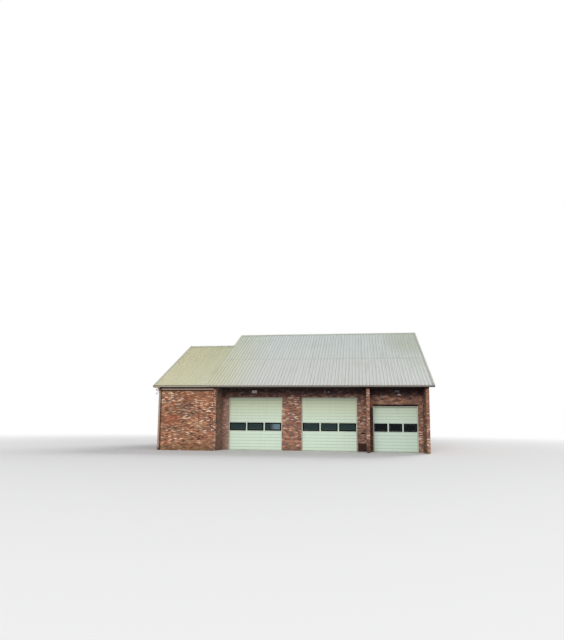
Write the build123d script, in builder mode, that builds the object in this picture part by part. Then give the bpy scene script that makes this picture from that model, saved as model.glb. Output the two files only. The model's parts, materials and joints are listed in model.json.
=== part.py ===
"""Brick fire station: three vehicle bays behind a deep porch, and a lower wing at the left.

Millimetres, +Z up, the front faces -Y. The origin is on the ground, below the main ridge and
half-way along the front eave.
"""

import os
from math import hypot

from build123d import *

# Roof
wing_length = 3680
main_half_span = 10556
wing_half_span = 7857
eave_height = 4300
roof_rise = 0.487
deck_depth = 100
sheet_depth = 12
rib_pitch = 228.6
rib_height = 21
rib_base = 52
rib_angle = 55
lap_run = 4700
lap_step = 4

# Walls
wall_thickness = 200
eave_overhang = 300
rake_overhang = 335
main_rake_overhang = 428
porch_depth = 1750
fin_thickness = 200
floor_depth = 60

# Door wall, from the left: pier, door, pier, door, pier that carries the fin, door, pier
left_pier_width = 458
wide_door_width = 3750
header_height = 560
middle_pier_width = 1343
pier_before_fin = 604
pier_after_fin = 256
narrow_door_width = 2950
narrow_header_height = 1129
right_pier_width = 318

# Door leaves
leaf_recess = 110
leaf_thickness = 45
seal_height = 20
section_height = 633
ribs_in_section = 3
window_section = 3
groove_width = 26
groove_depth = 9
joint_width = 10
joint_depth = 16
jamb_width = 50
jamb_thickness = 40

# Door windows
windows_in_door = 3
window_height = 550
window_margin = 70
window_gap = 90
frame_border = 52
frame_lap = 20
frame_proud = 14
glass_thickness = 6

# Boards under the roof
board = 20
sheet_drip = 20
soffit_drop = 130
frieze_height = 118
frieze_proud = 25
cove_height = 46
cove_proud = 20

# Sheet metal trims
trim_gauge = 4
trim_flange = 100
cap_run = 225
flashing_height = 150
flashing_start = 350

# Gutters and downspouts
gutter_width = 100
gutter_base = 80
gutter_height = 95
gutter_lip_drop = 4
gutter_gauge = 3
spout_width = 120
spout_depth = 74
spout_gauge = 3
spout_inset = 56
spout_drop = 60
spout_slant = 170
spout_bend = 50
shoe_height = 260
shoe_reach = 130
shoe_end = 110
strap_height = 30
strap_count = 3
strap_above_shoe = 640
strap_below_knee = 459

# Floodlights
canopy_radius = 62
canopy_depth = 40
knuckle_radius = 20
knuckle_length = 70
lamp_neck_radius = 34
lamp_mouth_radius = 62
lamp_length = 120
lamp_rim = 14
side_light_inset = 130
side_light_drop = 262
side_canopy_depth = 105
twin_light_drop = 140
twin_light_shift = -150
flood_width = 325
flood_height = 185
flood_top_depth = 135
flood_foot_depth = 80
flood_rim = 14
flood_drop = 174
flood_shift = -65
timer_width = 285
timer_height = 136
timer_depth = 75
timer_drop = 148
timer_shift = 137
head_width = 204
head_height = 62
head_depth = 130
head_lean = 38
head_arm = 30
head_drop = 380
head_shift = 255

# Letter slot
slot_width = 230
slot_height = 78
slot_depth = 12
slot_level = 1208
slot_from_fin = 119
slot_gap = 26

# Places worked out from the sizes above
roof_depth = deck_depth + sheet_depth
wide_bays = left_pier_width + wide_door_width + middle_pier_width + wide_door_width
narrow_bay = pier_after_fin + narrow_door_width + right_pier_width
bays_width = wide_bays + pier_before_fin + fin_thickness + narrow_bay
main_length = main_rake_overhang + 2 * wall_thickness + bays_width + rake_overhang
roof_length = wing_length + main_length
left_edge = -roof_length / 2
right_edge = roof_length / 2
main_edge = right_edge - main_length
wing_ridge_y = wing_half_span - main_half_span
wing_eave_y = wing_ridge_y + wing_half_span
lap_y = lap_run - main_half_span

wing_outside = left_edge + rake_overhang
wing_inside = wing_outside + wall_thickness
main_outside = main_edge + main_rake_overhang
main_inside = main_outside + wall_thickness
right_outside = right_edge - rake_overhang
right_inside = right_outside - wall_thickness
front_face = eave_overhang - main_half_span
back_face = -front_face
wing_back_face = wing_eave_y - eave_overhang
door_face = front_face + porch_depth
door_wall_back = door_face + wall_thickness
soffit_height = eave_height - soffit_drop
soffit_top = soffit_height + board
wide_door_head = soffit_height - header_height
narrow_door_head = soffit_height - narrow_header_height

door_1_left = main_inside + left_pier_width
door_2_left = door_1_left + wide_door_width + middle_pier_width
fin_left = door_2_left + wide_door_width + pier_before_fin
fin_right = fin_left + fin_thickness
door_3_left = fin_right + pier_after_fin
doors = {
    "door_1": (door_1_left, wide_door_width, wide_door_head),
    "door_2": (door_2_left, wide_door_width, wide_door_head),
    "door_3": (door_3_left, narrow_door_width, narrow_door_head),
}
leaf_front = door_face + leaf_recess
leaf_back = leaf_front + leaf_thickness


def main_top(y):
    """Height of the main roof's sheet over a line at y."""
    return eave_height + roof_rise * (main_half_span - abs(y))


def wing_top(y):
    """Height of the wing roof's sheet over a line at y."""
    return eave_height + roof_rise * (wing_half_span - abs(y - wing_ridge_y))


def main_under(y):
    """Height of the main roof's underside over a line at y."""
    return main_top(y) - roof_depth


def wing_under(y):
    """Height of the wing roof's underside over a line at y."""
    return wing_top(y) - roof_depth


def block(low, high, mode=Mode.ADD):
    """Adds or cuts the box between two opposite corners."""
    size = Vector(*high) - Vector(*low)
    with Locations(Vector(*low) + size / 2):
        Box(size.X, size.Y, size.Z, mode=mode)


def profile(x, width, points, mode=Mode.ADD):
    """Adds or cuts an outline of (y, z) points, run along X from x over the width."""
    with BuildSketch(Plane.YZ.offset(x)) as outline:
        with BuildLine():
            Polyline(*points, close=True)
        make_face()
    extrude(outline.sketch, amount=width, mode=mode)


def climb(sketch, start_y, end_y):
    """Runs a sketch that stands plumb at start_y up the roof to end_y."""
    run = abs(end_y - start_y)
    towards = 1 if end_y > start_y else -1
    extrude(sketch, amount=run * hypot(1, roof_rise), dir=(0, towards, roof_rise))


def save(name, part):
    """Labels a finished piece and writes it."""
    part.label = name
    export_step(part, f"parts/{name}.step")


# Roof slopes


def ribbed_course(left, right, start, end, height):
    """One course of ribbed sheets; height is that of its pan at the start line."""
    middle = (left + right) / 2
    ribs = int((right - left) / rib_pitch)
    with BuildSketch(Plane.XZ.offset(-start)) as sheet:
        with Locations((middle, height - sheet_depth / 2)):
            Rectangle(right - left, sheet_depth)
        with Locations((middle, height)):
            with GridLocations(rib_pitch, 1, ribs, 1):
                Trapezoid(rib_base, rib_height, rib_angle, align=(Align.CENTER, Align.MIN))
    climb(sheet.sketch, start, end)


def deck(left, right, eave, ridge):
    """The deck under the sheets; it stops behind the fascia."""
    inward = 1 if ridge > eave else -1
    start = eave + inward * (sheet_drip + board)
    top = eave_height + roof_rise * (sheet_drip + board) - sheet_depth
    with BuildSketch(Plane.XZ.offset(-start)) as boards:
        with Locations(((left + right) / 2, top)):
            Rectangle(right - left, deck_depth, align=(Align.CENTER, Align.MAX))
    climb(boards.sketch, start, ridge)


with BuildPart() as main_roof_front:
    ribbed_course(main_edge, right_edge, -main_half_span, lap_y, eave_height)
    ribbed_course(main_edge, right_edge, lap_y, 0, main_top(lap_y) + lap_step)
    deck(main_edge, right_edge, -main_half_span, 0)

with BuildPart() as main_roof_back:
    mirror(main_roof_front.part, about=Plane.XZ)

with BuildPart() as wing_roof_front:
    ribbed_course(left_edge, main_edge, -main_half_span, wing_ridge_y, eave_height)
    deck(left_edge, main_edge, -main_half_span, wing_ridge_y)

# The main roof's left rake hangs over the wing's back slope, which is notched round it
with BuildPart() as wing_roof_back:
    ribbed_course(left_edge, main_outside, wing_eave_y, wing_ridge_y, eave_height)
    deck(left_edge, main_outside, wing_eave_y, wing_ridge_y)
    profile(
        main_edge - trim_gauge,
        main_rake_overhang + trim_gauge,
        [
            (wing_ridge_y, main_under(wing_ridge_y)),
            (0, main_under(0)),
            (0, main_top(0)),
            (wing_ridge_y, main_top(0)),
        ],
        mode=Mode.SUBTRACT,
    )


# Ridge caps, rake trims and flashing


def ridge_cap(left, right, ridge_y, top):
    """A folded cap that lies on the rake trims; top is the sheet's height function."""
    low, high = ridge_y - cap_run, ridge_y + cap_run
    under = rib_height + lap_step + trim_gauge
    over = under + trim_gauge
    profile(
        left,
        right - left,
        [
            (low, top(low) + under),
            (low, top(low) + over),
            (ridge_y, top(ridge_y) + over),
            (high, top(high) + over),
            (high, top(high) + under),
            (ridge_y, top(ridge_y) + under),
        ],
    )


def rake_trim(edge, outward, start, end, height):
    """Covers the roof's end and laps on its ribs; height is the pan's at the start line."""
    outside = edge + outward * trim_gauge
    inside = edge - outward * trim_flange
    rest = height + rib_height + lap_step
    with BuildSketch(Plane.XZ.offset(-start)) as angle:
        with BuildLine():
            Polyline(
                (outside, height - roof_depth),
                (outside, rest + trim_gauge),
                (inside, rest + trim_gauge),
                (inside, rest),
                (edge, rest),
                (edge, height - roof_depth),
                close=True,
            )
        make_face()
    climb(angle.sketch, start, end)


with BuildPart() as main_ridge_cap:
    ridge_cap(main_edge - trim_gauge, right_edge + trim_gauge, 0, main_top)

with BuildPart() as wing_ridge_cap:
    ridge_cap(left_edge - trim_gauge, main_edge - trim_gauge, wing_ridge_y, wing_top)

with BuildPart() as main_right_rake_trim:
    rake_trim(right_edge, 1, -main_half_span, 0, eave_height)
    rake_trim(right_edge, 1, main_half_span, 0, eave_height)

with BuildPart() as main_left_rake_trim:
    rake_trim(main_edge, -1, wing_ridge_y, 0, main_top(wing_ridge_y))
    rake_trim(main_edge, -1, main_half_span, 0, eave_height)

with BuildPart() as wing_left_rake_trim:
    rake_trim(left_edge, -1, -main_half_span, wing_ridge_y, eave_height)
    rake_trim(left_edge, -1, wing_eave_y, wing_ridge_y, eave_height)

with BuildPart() as wing_wall_flashing:
    with BuildSketch(Plane.XZ.offset(-wing_eave_y)) as angle:
        with Locations((main_outside, eave_height + rib_height)):
            Rectangle(trim_flange, trim_gauge, align=(Align.MAX, Align.MIN))
            Rectangle(trim_gauge, flashing_height, align=(Align.MAX, Align.MIN))
    climb(angle.sketch, wing_eave_y, wing_ridge_y + flashing_start)

# Brick walls

gable = [
    (front_face, 0),
    (back_face, 0),
    (back_face, main_under(back_face)),
    (0, main_under(0)),
    (front_face, main_under(front_face)),
]

with BuildPart() as main_left_wall:
    profile(main_outside, wall_thickness, gable)

with BuildPart() as main_right_wall:
    profile(right_inside, wall_thickness, gable)


def straight_wall(left, right, near, far, under, base=0):
    """A wall along X between two faces, its top cut to the roof's slope."""
    outline = [(near, base), (far, base), (far, under(far)), (near, under(near))]
    profile(left, right - left, outline)


with BuildPart() as main_back_wall:
    straight_wall(main_inside, right_inside, back_face - wall_thickness, back_face, main_under)

with BuildPart() as wing_front_wall:
    straight_wall(wing_outside, main_outside, front_face, front_face + wall_thickness, wing_under)

with BuildPart() as wing_back_wall:
    inner_face = wing_back_face - wall_thickness
    straight_wall(wing_outside, main_outside, inner_face, wing_back_face, wing_under)

with BuildPart() as wing_left_wall:
    near = front_face + wall_thickness
    far = wing_back_face - wall_thickness
    profile(
        wing_outside,
        wall_thickness,
        [
            (near, 0),
            (far, 0),
            (far, wing_under(far)),
            (wing_ridge_y, wing_under(wing_ridge_y)),
            (near, wing_under(near)),
        ],
    )

with BuildPart() as middle_fin_wall:
    straight_wall(fin_left, fin_right, front_face, door_face, main_under)

# The piers stand between the doors, and the header wall runs over all of them
pier_edges = [main_inside]
for left, width, head in doors.values():
    pier_edges += [left, left + width]
pier_edges.append(right_inside)

with BuildPart() as bay_piers:
    for left, right in zip(pier_edges[::2], pier_edges[1::2]):
        block((left, door_face, 0), (right, door_wall_back, wide_door_head))

with BuildPart() as bay_header_wall:
    straight_wall(
        main_inside, right_inside, door_face, door_wall_back, main_under, base=wide_door_head
    )
    block(
        (door_3_left, door_face, narrow_door_head),
        (door_3_left + narrow_door_width, door_wall_back, wide_door_head),
    )

# The bays' floor runs out between the piers to the back of the doors, which reach the ground
with BuildPart() as floor_slab:
    block((main_inside, door_wall_back, 0), (right_inside, back_face - wall_thickness, floor_depth))
    for left, width, head in doors.values():
        block((left, leaf_back, 0), (left + width, door_wall_back, floor_depth))
    block(
        (wing_inside, front_face + wall_thickness, 0),
        (main_outside, wing_back_face - wall_thickness, floor_depth),
    )


# Soffits with their fascias


def eave_box(left, right, eave, inward):
    """Fascia and soffit from the eave to the wall, along X."""
    front = eave + inward * sheet_drip
    back = front + inward * board
    wall = eave + inward * eave_overhang
    under_sheet = eave_height - sheet_depth
    profile(
        left,
        right - left,
        [
            (front, soffit_height),
            (wall, soffit_height),
            (wall, soffit_top),
            (back, soffit_top),
            (back, under_sheet + roof_rise * (sheet_drip + board)),
            (front, under_sheet + roof_rise * sheet_drip),
        ],
    )


def eave_return(left, right, eave, inward):
    """Closes the eave box under the rake's overhang, past the gable wall."""
    back = sheet_drip + board
    under_deck = eave_height - roof_depth
    profile(
        left,
        right - left,
        [
            (eave + inward * back, soffit_top),
            (eave + inward * eave_overhang, soffit_top),
            (eave + inward * eave_overhang, under_deck + roof_rise * eave_overhang),
            (eave + inward * back, under_deck + roof_rise * back),
        ],
    )


with BuildPart() as front_soffit:
    eave_box(left_edge, right_edge, -main_half_span, 1)
    eave_return(left_edge, wing_outside, -main_half_span, 1)
    eave_return(right_outside, right_edge, -main_half_span, 1)
    block((main_inside, front_face, soffit_height), (fin_left, door_face, soffit_top))
    block((fin_right, front_face, soffit_height), (right_inside, door_face, soffit_top))
    block(
        (wing_outside, front_face - cove_proud, soffit_height - cove_height),
        (main_outside, front_face, soffit_height),
    )

with BuildPart() as main_back_soffit:
    eave_box(main_edge, right_edge, main_half_span, -1)
    eave_return(main_edge, main_outside, main_half_span, -1)
    eave_return(right_outside, right_edge, main_half_span, -1)

with BuildPart() as wing_back_soffit:
    eave_box(left_edge, main_outside, wing_eave_y, -1)
    eave_return(left_edge, wing_outside, wing_eave_y, -1)

with BuildPart() as wing_frieze_board:
    frieze_left = wing_outside + spout_inset + spout_width / 2
    frieze_top = soffit_height - cove_height
    block(
        (frieze_left, front_face - frieze_proud, frieze_top - frieze_height),
        (main_outside, front_face, frieze_top),
    )


# Gutters and downspouts


def gutter(left, right, eave, outward):
    """An open trough with closed ends, hung on the fascia with the sheet's edge over it."""
    fascia = eave - outward * sheet_drip
    top = eave_height - sheet_depth - gutter_lip_drop
    bottom = top - gutter_height

    def trough(inset, rim):
        return [
            (fascia + outward * inset, bottom + inset),
            (fascia + outward * (gutter_base - inset), bottom + inset),
            (fascia + outward * (gutter_width - inset), bottom + gutter_height / 2),
            (fascia + outward * (gutter_width - inset), top + rim),
            (fascia + outward * inset, top + rim),
        ]

    profile(left, right - left, trough(0, 0))
    inner_length = right - left - 2 * gutter_gauge
    profile(left + gutter_gauge, inner_length, trough(gutter_gauge, board), mode=Mode.SUBTRACT)


def downspout(x, eave, outward):
    """A rectangular pipe from the gutter back to the wall and down to a shoe."""
    gutter_bottom = eave_height - sheet_depth - gutter_lip_drop - gutter_height
    wall = eave - outward * eave_overhang
    outlet_y = eave + outward * (gutter_base / 2 - sheet_drip)
    pipe_y = wall + outward * spout_depth / 2
    knee = gutter_bottom - spout_drop
    with BuildLine(Plane.YZ.offset(x)) as route:
        FilletPolyline(
            (outlet_y, gutter_bottom),
            (outlet_y, knee),
            (pipe_y, knee - spout_slant),
            (pipe_y, shoe_height),
            (pipe_y + outward * shoe_reach, shoe_end),
            radius=spout_bend,
        )
    mouth = Plane(origin=(x, outlet_y, gutter_bottom), x_dir=(1, 0, 0), z_dir=(0, 0, -1))
    with BuildSketch(mouth) as outside:
        Rectangle(spout_width, spout_depth)
    sweep(outside.sketch, path=route.line)
    half = spout_width / 2 + spout_gauge
    near, far = sorted((wall, wall + outward * (spout_depth + spout_gauge)))
    first = shoe_height + strap_above_shoe
    spacing = (knee - spout_slant - strap_below_knee - first) / (strap_count - 1)
    for number in range(strap_count):
        level = first + number * spacing
        block((x - half, near, level), (x + half, far, level + strap_height))
    with BuildSketch(mouth) as bore:
        Rectangle(spout_width - 2 * spout_gauge, spout_depth - 2 * spout_gauge)
    sweep(bore.sketch, path=route.line, mode=Mode.SUBTRACT)


with BuildPart() as front_gutter:
    gutter(left_edge, right_edge, -main_half_span, -1)

with BuildPart() as main_back_gutter:
    gutter(main_edge, right_edge, main_half_span, 1)

with BuildPart() as wing_back_gutter:
    gutter(left_edge, main_outside, wing_eave_y, 1)

with BuildPart() as front_downspout:
    downspout(wing_outside + spout_inset, -main_half_span, -1)

with BuildPart() as main_back_downspout:
    downspout(right_outside - spout_width / 2 - spout_gauge, main_half_span, 1)

with BuildPart() as wing_back_downspout:
    downspout(wing_outside + spout_width / 2 + spout_gauge, wing_eave_y, 1)


# Overhead doors


def window_centres(left, width):
    """Places along X of the windows in one door, and the width of one window."""
    clear = width - 2 * window_margin - (windows_in_door - 1) * window_gap
    one = clear / windows_in_door
    first = left + window_margin + one / 2
    return [first + number * (one + window_gap) for number in range(windows_in_door)], one


window_level = seal_height + (window_section - 0.5) * section_height


def window_box(centre, width, inset, near, far, mode=Mode.ADD):
    """A box on one window, set in from the frame's outer edge on all four sides."""
    half_width = width / 2 - inset
    half_height = window_height / 2 - inset
    block(
        (centre - half_width, near, window_level - half_height),
        (centre + half_width, far, window_level + half_height),
        mode=mode,
    )


def groove(left, width, level, half, depth):
    """A V-shaped groove across the leaf's outer face."""
    profile(
        left,
        width,
        [(leaf_front, level - half), (leaf_front + depth, level), (leaf_front, level + half)],
        mode=Mode.SUBTRACT,
    )


def door_leaf(left, width, head):
    """A stack of sections with pressed ribs, and openings for the row of windows."""
    block((left, leaf_front, 0), (left + width, leaf_back, head))
    rib = section_height / ribs_in_section
    for number in range(int((head - seal_height) / rib) + 1):
        level = seal_height + number * rib
        if level > head - groove_width:
            break
        if number % ribs_in_section:
            groove(left, width, level, groove_width / 2, groove_depth)
        else:
            groove(left, width, level, joint_width / 2, joint_depth)
    centres, one = window_centres(left, width)
    for centre in centres:
        window_box(centre, one, frame_lap, leaf_front, leaf_back, mode=Mode.SUBTRACT)


def window_frames(left, width):
    """A flange on the leaf's face and a sleeve through it, for each window."""
    centres, one = window_centres(left, width)
    for centre in centres:
        window_box(centre, one, 0, leaf_front - frame_proud, leaf_front)
        window_box(centre, one, frame_lap, leaf_front, leaf_back)
        near, far = leaf_front - frame_proud, leaf_back
        window_box(centre, one, frame_border, near, far, mode=Mode.SUBTRACT)


def window_glass(left, width):
    """One pane between the sleeve's sides, for each window."""
    centres, one = window_centres(left, width)
    middle = (leaf_front + leaf_back) / 2
    for centre in centres:
        near, far = middle - glass_thickness / 2, middle + glass_thickness / 2
        window_box(centre, one, frame_border, near, far)


def opening_trim(left, width, head):
    """Jambs and head stop, in front of the leaf."""
    near = leaf_front - jamb_thickness
    block((left, near, 0), (left + width, leaf_front, head))
    block(
        (left + jamb_width, near, 0),
        (left + width - jamb_width, leaf_front, head - jamb_width),
        mode=Mode.SUBTRACT,
    )


with BuildPart() as door_trims:
    for left, width, head in doors.values():
        opening_trim(left, width, head)

door_parts = {}
for name, (left, width, head) in doors.items():
    with BuildPart() as leaf:
        door_leaf(left, width, head)
    with BuildPart() as frames:
        window_frames(left, width)
    with BuildPart() as glass:
        window_glass(left, width)
    door_parts[f"{name}_leaf"] = leaf.part
    door_parts[f"{name}_window_frames"] = frames.part
    door_parts[f"{name}_glass"] = glass.part


# Floodlights


def twin_floodlight(seat, depth, aims):
    """A round canopy on the wall with one lamp for each aim; +Z of the seat points out."""
    with Locations(seat):
        Cylinder(canopy_radius, depth, align=(Align.CENTER, Align.CENTER, Align.MIN))
    for side, aim in aims:
        foot = seat.from_local_coords((side * (canopy_radius - knuckle_radius), 0, depth))
        arm = Plane(origin=foot, z_dir=seat.from_local_coords(aim) - seat.origin)
        with Locations(arm):
            Cylinder(knuckle_radius, knuckle_length, align=(Align.CENTER, Align.CENTER, Align.MIN))
            with Locations((0, 0, knuckle_length)):
                Cone(
                    lamp_neck_radius,
                    lamp_mouth_radius,
                    lamp_length,
                    align=(Align.CENTER, Align.CENTER, Align.MIN),
                )
                with Locations((0, 0, lamp_length)):
                    Cylinder(
                        lamp_mouth_radius, lamp_rim, align=(Align.CENTER, Align.CENTER, Align.MIN)
                    )


def box_floodlight(x, level):
    """A wide housing whose front leans down, with a sunk lens."""
    top, foot = level + flood_height / 2, level - flood_height / 2
    profile(
        x - flood_width / 2,
        flood_width,
        [
            (door_face, foot),
            (door_face, top),
            (door_face - flood_top_depth, top),
            (door_face - flood_foot_depth, foot),
        ],
    )
    lean = (flood_top_depth - flood_foot_depth) / flood_height
    high, low = top - flood_rim, foot + flood_rim
    near = door_face - flood_top_depth + lean * flood_rim
    far = door_face - flood_foot_depth - lean * flood_rim
    profile(
        x - flood_width / 2 + flood_rim,
        flood_width - 2 * flood_rim,
        [
            (near - flood_rim, high),
            (near + flood_rim, high),
            (far + flood_rim, low),
            (far - flood_rim, low),
        ],
        mode=Mode.SUBTRACT,
    )


def hung_floodlight(x, level):
    """A timer box on the wall, and a small lamp head that hangs on an arm at its right."""
    block(
        (x - timer_width / 2, door_face - timer_depth, level - timer_height / 2),
        (x + timer_width / 2, door_face, level + timer_height / 2),
    )
    head_x = x - timer_shift + head_shift
    head_level = soffit_height - head_drop
    arm_y = door_face - timer_depth / 2
    block(
        (head_x - head_arm / 2, arm_y - head_arm / 2, head_level - head_height / 2),
        (head_x + head_arm / 2, arm_y + head_arm / 2, level - timer_height / 2),
    )
    near, far = arm_y - head_depth, arm_y + head_arm
    profile(
        head_x - head_width / 2,
        head_width,
        [
            (near, head_level - head_lean),
            (far, head_level - head_height / 2),
            (far, head_level + head_height / 2),
            (near, head_level - head_lean + head_height),
        ],
    )


with BuildPart() as floodlight_door_1:
    middle = door_1_left + wide_door_width / 2 + flood_shift
    box_floodlight(middle, soffit_height - flood_drop)

with BuildPart() as floodlight_door_2:
    middle = door_2_left + wide_door_width / 2 + twin_light_shift
    corner = (middle, door_face, soffit_height - twin_light_drop)
    seat = Plane(origin=corner, x_dir=(1, 0, 0), z_dir=(0, -1, 0))
    twin_floodlight(seat, canopy_depth, [(-1, (-0.35, -0.3, 0.8)), (1, (0.35, -0.3, 0.8))])

with BuildPart() as floodlight_door_3:
    middle = door_3_left + narrow_door_width / 2 + timer_shift
    hung_floodlight(middle, soffit_height - timer_drop)

with BuildPart() as floodlight_wing:
    corner = (wing_outside, front_face + side_light_inset, soffit_height - side_light_drop)
    seat = Plane(origin=corner, x_dir=(0, 0, 1), z_dir=(-1, 0, 0))
    twin_floodlight(seat, side_canopy_depth, [(-1, (-0.5, -0.2, 0.8)), (1, (0.5, -0.2, 0.8))])

# Letter slot, in the pier before the fin

with BuildPart() as letter_slot:
    slot_right = fin_left - slot_from_fin
    block(
        (slot_right - slot_width, door_face - slot_depth, slot_level - slot_height / 2),
        (slot_right, door_face, slot_level + slot_height / 2),
    )
    block(
        (slot_right - slot_width + slot_gap, door_face - slot_depth, slot_level - slot_gap / 2),
        (slot_right - slot_gap, door_face - slot_depth / 2, slot_level + slot_gap / 2),
        mode=Mode.SUBTRACT,
    )

pieces = {
    "main_roof_front": main_roof_front.part,
    "main_roof_back": main_roof_back.part,
    "wing_roof_front": wing_roof_front.part,
    "wing_roof_back": wing_roof_back.part,
    "main_ridge_cap": main_ridge_cap.part,
    "wing_ridge_cap": wing_ridge_cap.part,
    "main_right_rake_trim": main_right_rake_trim.part,
    "main_left_rake_trim": main_left_rake_trim.part,
    "wing_left_rake_trim": wing_left_rake_trim.part,
    "wing_wall_flashing": wing_wall_flashing.part,
    "main_left_wall": main_left_wall.part,
    "main_right_wall": main_right_wall.part,
    "main_back_wall": main_back_wall.part,
    "wing_front_wall": wing_front_wall.part,
    "wing_back_wall": wing_back_wall.part,
    "wing_left_wall": wing_left_wall.part,
    "middle_fin_wall": middle_fin_wall.part,
    "bay_piers": bay_piers.part,
    "bay_header_wall": bay_header_wall.part,
    "floor_slab": floor_slab.part,
    "front_soffit": front_soffit.part,
    "main_back_soffit": main_back_soffit.part,
    "wing_back_soffit": wing_back_soffit.part,
    "wing_frieze_board": wing_frieze_board.part,
    "front_gutter": front_gutter.part,
    "main_back_gutter": main_back_gutter.part,
    "wing_back_gutter": wing_back_gutter.part,
    "front_downspout": front_downspout.part,
    "main_back_downspout": main_back_downspout.part,
    "wing_back_downspout": wing_back_downspout.part,
    "door_trims": door_trims.part,
    "floodlight_wing": floodlight_wing.part,
    "floodlight_door_1": floodlight_door_1.part,
    "floodlight_door_2": floodlight_door_2.part,
    "floodlight_door_3": floodlight_door_3.part,
    "letter_slot": letter_slot.part,
}
pieces.update(door_parts)

os.makedirs("parts", exist_ok=True)
for name, part in pieces.items():
    save(name, part)
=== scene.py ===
"""Dresses the brick fire station: laid brick, roof screws, glazing, finishes, light and camera.

Metres, +Z up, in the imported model's frame. The front faces -Y, and the origin is on the ground
below the main ridge, half-way along the front eave.
"""

from __future__ import annotations

import json
import logging
import math
import random
from dataclasses import dataclass, field
from enum import Enum
from typing import ClassVar, Iterator, Sequence

import bpy
from mathutils import Matrix, Vector

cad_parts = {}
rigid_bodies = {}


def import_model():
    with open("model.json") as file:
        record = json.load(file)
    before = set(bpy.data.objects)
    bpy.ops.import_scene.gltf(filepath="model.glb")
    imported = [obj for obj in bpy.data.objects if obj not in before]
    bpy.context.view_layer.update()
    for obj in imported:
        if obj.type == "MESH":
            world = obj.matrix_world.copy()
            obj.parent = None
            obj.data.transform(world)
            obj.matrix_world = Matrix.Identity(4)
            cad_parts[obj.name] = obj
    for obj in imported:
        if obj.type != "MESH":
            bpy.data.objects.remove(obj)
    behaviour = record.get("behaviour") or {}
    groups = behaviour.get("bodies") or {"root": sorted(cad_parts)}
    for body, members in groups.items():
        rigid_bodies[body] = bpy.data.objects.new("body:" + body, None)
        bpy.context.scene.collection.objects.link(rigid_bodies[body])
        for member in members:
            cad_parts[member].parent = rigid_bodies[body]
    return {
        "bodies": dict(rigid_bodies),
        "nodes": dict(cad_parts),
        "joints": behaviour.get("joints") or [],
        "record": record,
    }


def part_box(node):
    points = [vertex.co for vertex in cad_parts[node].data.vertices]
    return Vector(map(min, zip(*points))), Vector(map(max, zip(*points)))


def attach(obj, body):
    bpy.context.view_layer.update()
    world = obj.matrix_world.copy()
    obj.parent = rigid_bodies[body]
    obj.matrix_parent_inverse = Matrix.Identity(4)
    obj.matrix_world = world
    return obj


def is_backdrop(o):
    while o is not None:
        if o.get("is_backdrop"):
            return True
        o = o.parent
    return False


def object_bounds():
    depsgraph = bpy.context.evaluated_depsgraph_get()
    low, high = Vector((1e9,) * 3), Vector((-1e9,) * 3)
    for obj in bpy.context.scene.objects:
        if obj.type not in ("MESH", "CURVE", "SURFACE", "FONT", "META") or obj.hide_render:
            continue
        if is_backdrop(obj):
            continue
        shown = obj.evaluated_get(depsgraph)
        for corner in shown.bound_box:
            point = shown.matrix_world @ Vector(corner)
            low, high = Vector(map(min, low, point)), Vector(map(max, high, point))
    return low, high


log = logging.getLogger("fire_station")

BODY = "root"
Colour = tuple[float, float, float, float]
Point = tuple[float, float, float]
Span = tuple[float, float]
Spot = tuple[float, float]
Faces = tuple[tuple[int, ...], ...]
Pane = tuple[float, float, float, float]
Stops = tuple[tuple[float, Colour], ...]
Settings = dict[str, object] | None
Inputs = dict[str | int, object] | None
Material = bpy.types.Material
WHITE: Colour = (1.0, 1.0, 1.0, 1.0)
UP, LEFT, RIGHT = Vector((0, 0, 1)), Vector((-1, 0, 0)), Vector((1, 0, 0))
FORWARD, BACKWARD = Vector((0, -1, 0)), Vector((0, 1, 0))


def colour(red: int, green: int, blue: int) -> Colour:
    """Turns a colour read as 0 to 255 into the renderer's linear light.

    Args:
        red, green, blue: the colour as a screen shows it.

    Returns:
        Linear red, green, blue and an alpha of 1.
    """

    def linear(value: int) -> float:
        """Undoes the screen's standard curve."""
        share = value / 255
        return share / 12.92 if share <= 0.04045 else ((share + 0.055) / 1.055) ** 2.4

    return linear(red), linear(green), linear(blue), 1.0


# Shader building


class Socket:
    """An output in a node tree that takes part in arithmetic."""

    def __init__(self, graph: Graph, output: bpy.types.NodeSocket) -> None:
        """Wraps an output of one of the graph's nodes."""
        self.graph = graph
        self.output = output

    def __add__(self, other: Socket | float) -> Socket:
        """Adds a socket or a number."""
        return self.graph.math("ADD", self, other)

    def __radd__(self, other: float) -> Socket:
        """Adds itself to a number."""
        return self.graph.math("ADD", other, self)

    def __sub__(self, other: Socket | float) -> Socket:
        """Takes a socket or a number away."""
        return self.graph.math("SUBTRACT", self, other)

    def __rsub__(self, other: float) -> Socket:
        """Takes itself away from a number."""
        return self.graph.math("SUBTRACT", other, self)

    def __mul__(self, other: Socket | float) -> Socket:
        """Multiplies by a socket or a number."""
        return self.graph.math("MULTIPLY", self, other)

    def __rmul__(self, other: float) -> Socket:
        """Multiplies a number by itself."""
        return self.graph.math("MULTIPLY", other, self)

    def __truediv__(self, other: Socket | float) -> Socket:
        """Divides by a socket or a number."""
        return self.graph.math("DIVIDE", self, other)

    def __rtruediv__(self, other: float) -> Socket:
        """Divides a number by itself."""
        return self.graph.math("DIVIDE", other, self)

    def __abs__(self) -> Socket:
        """Drops the sign."""
        return self.graph.math("ABSOLUTE", self)


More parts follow.
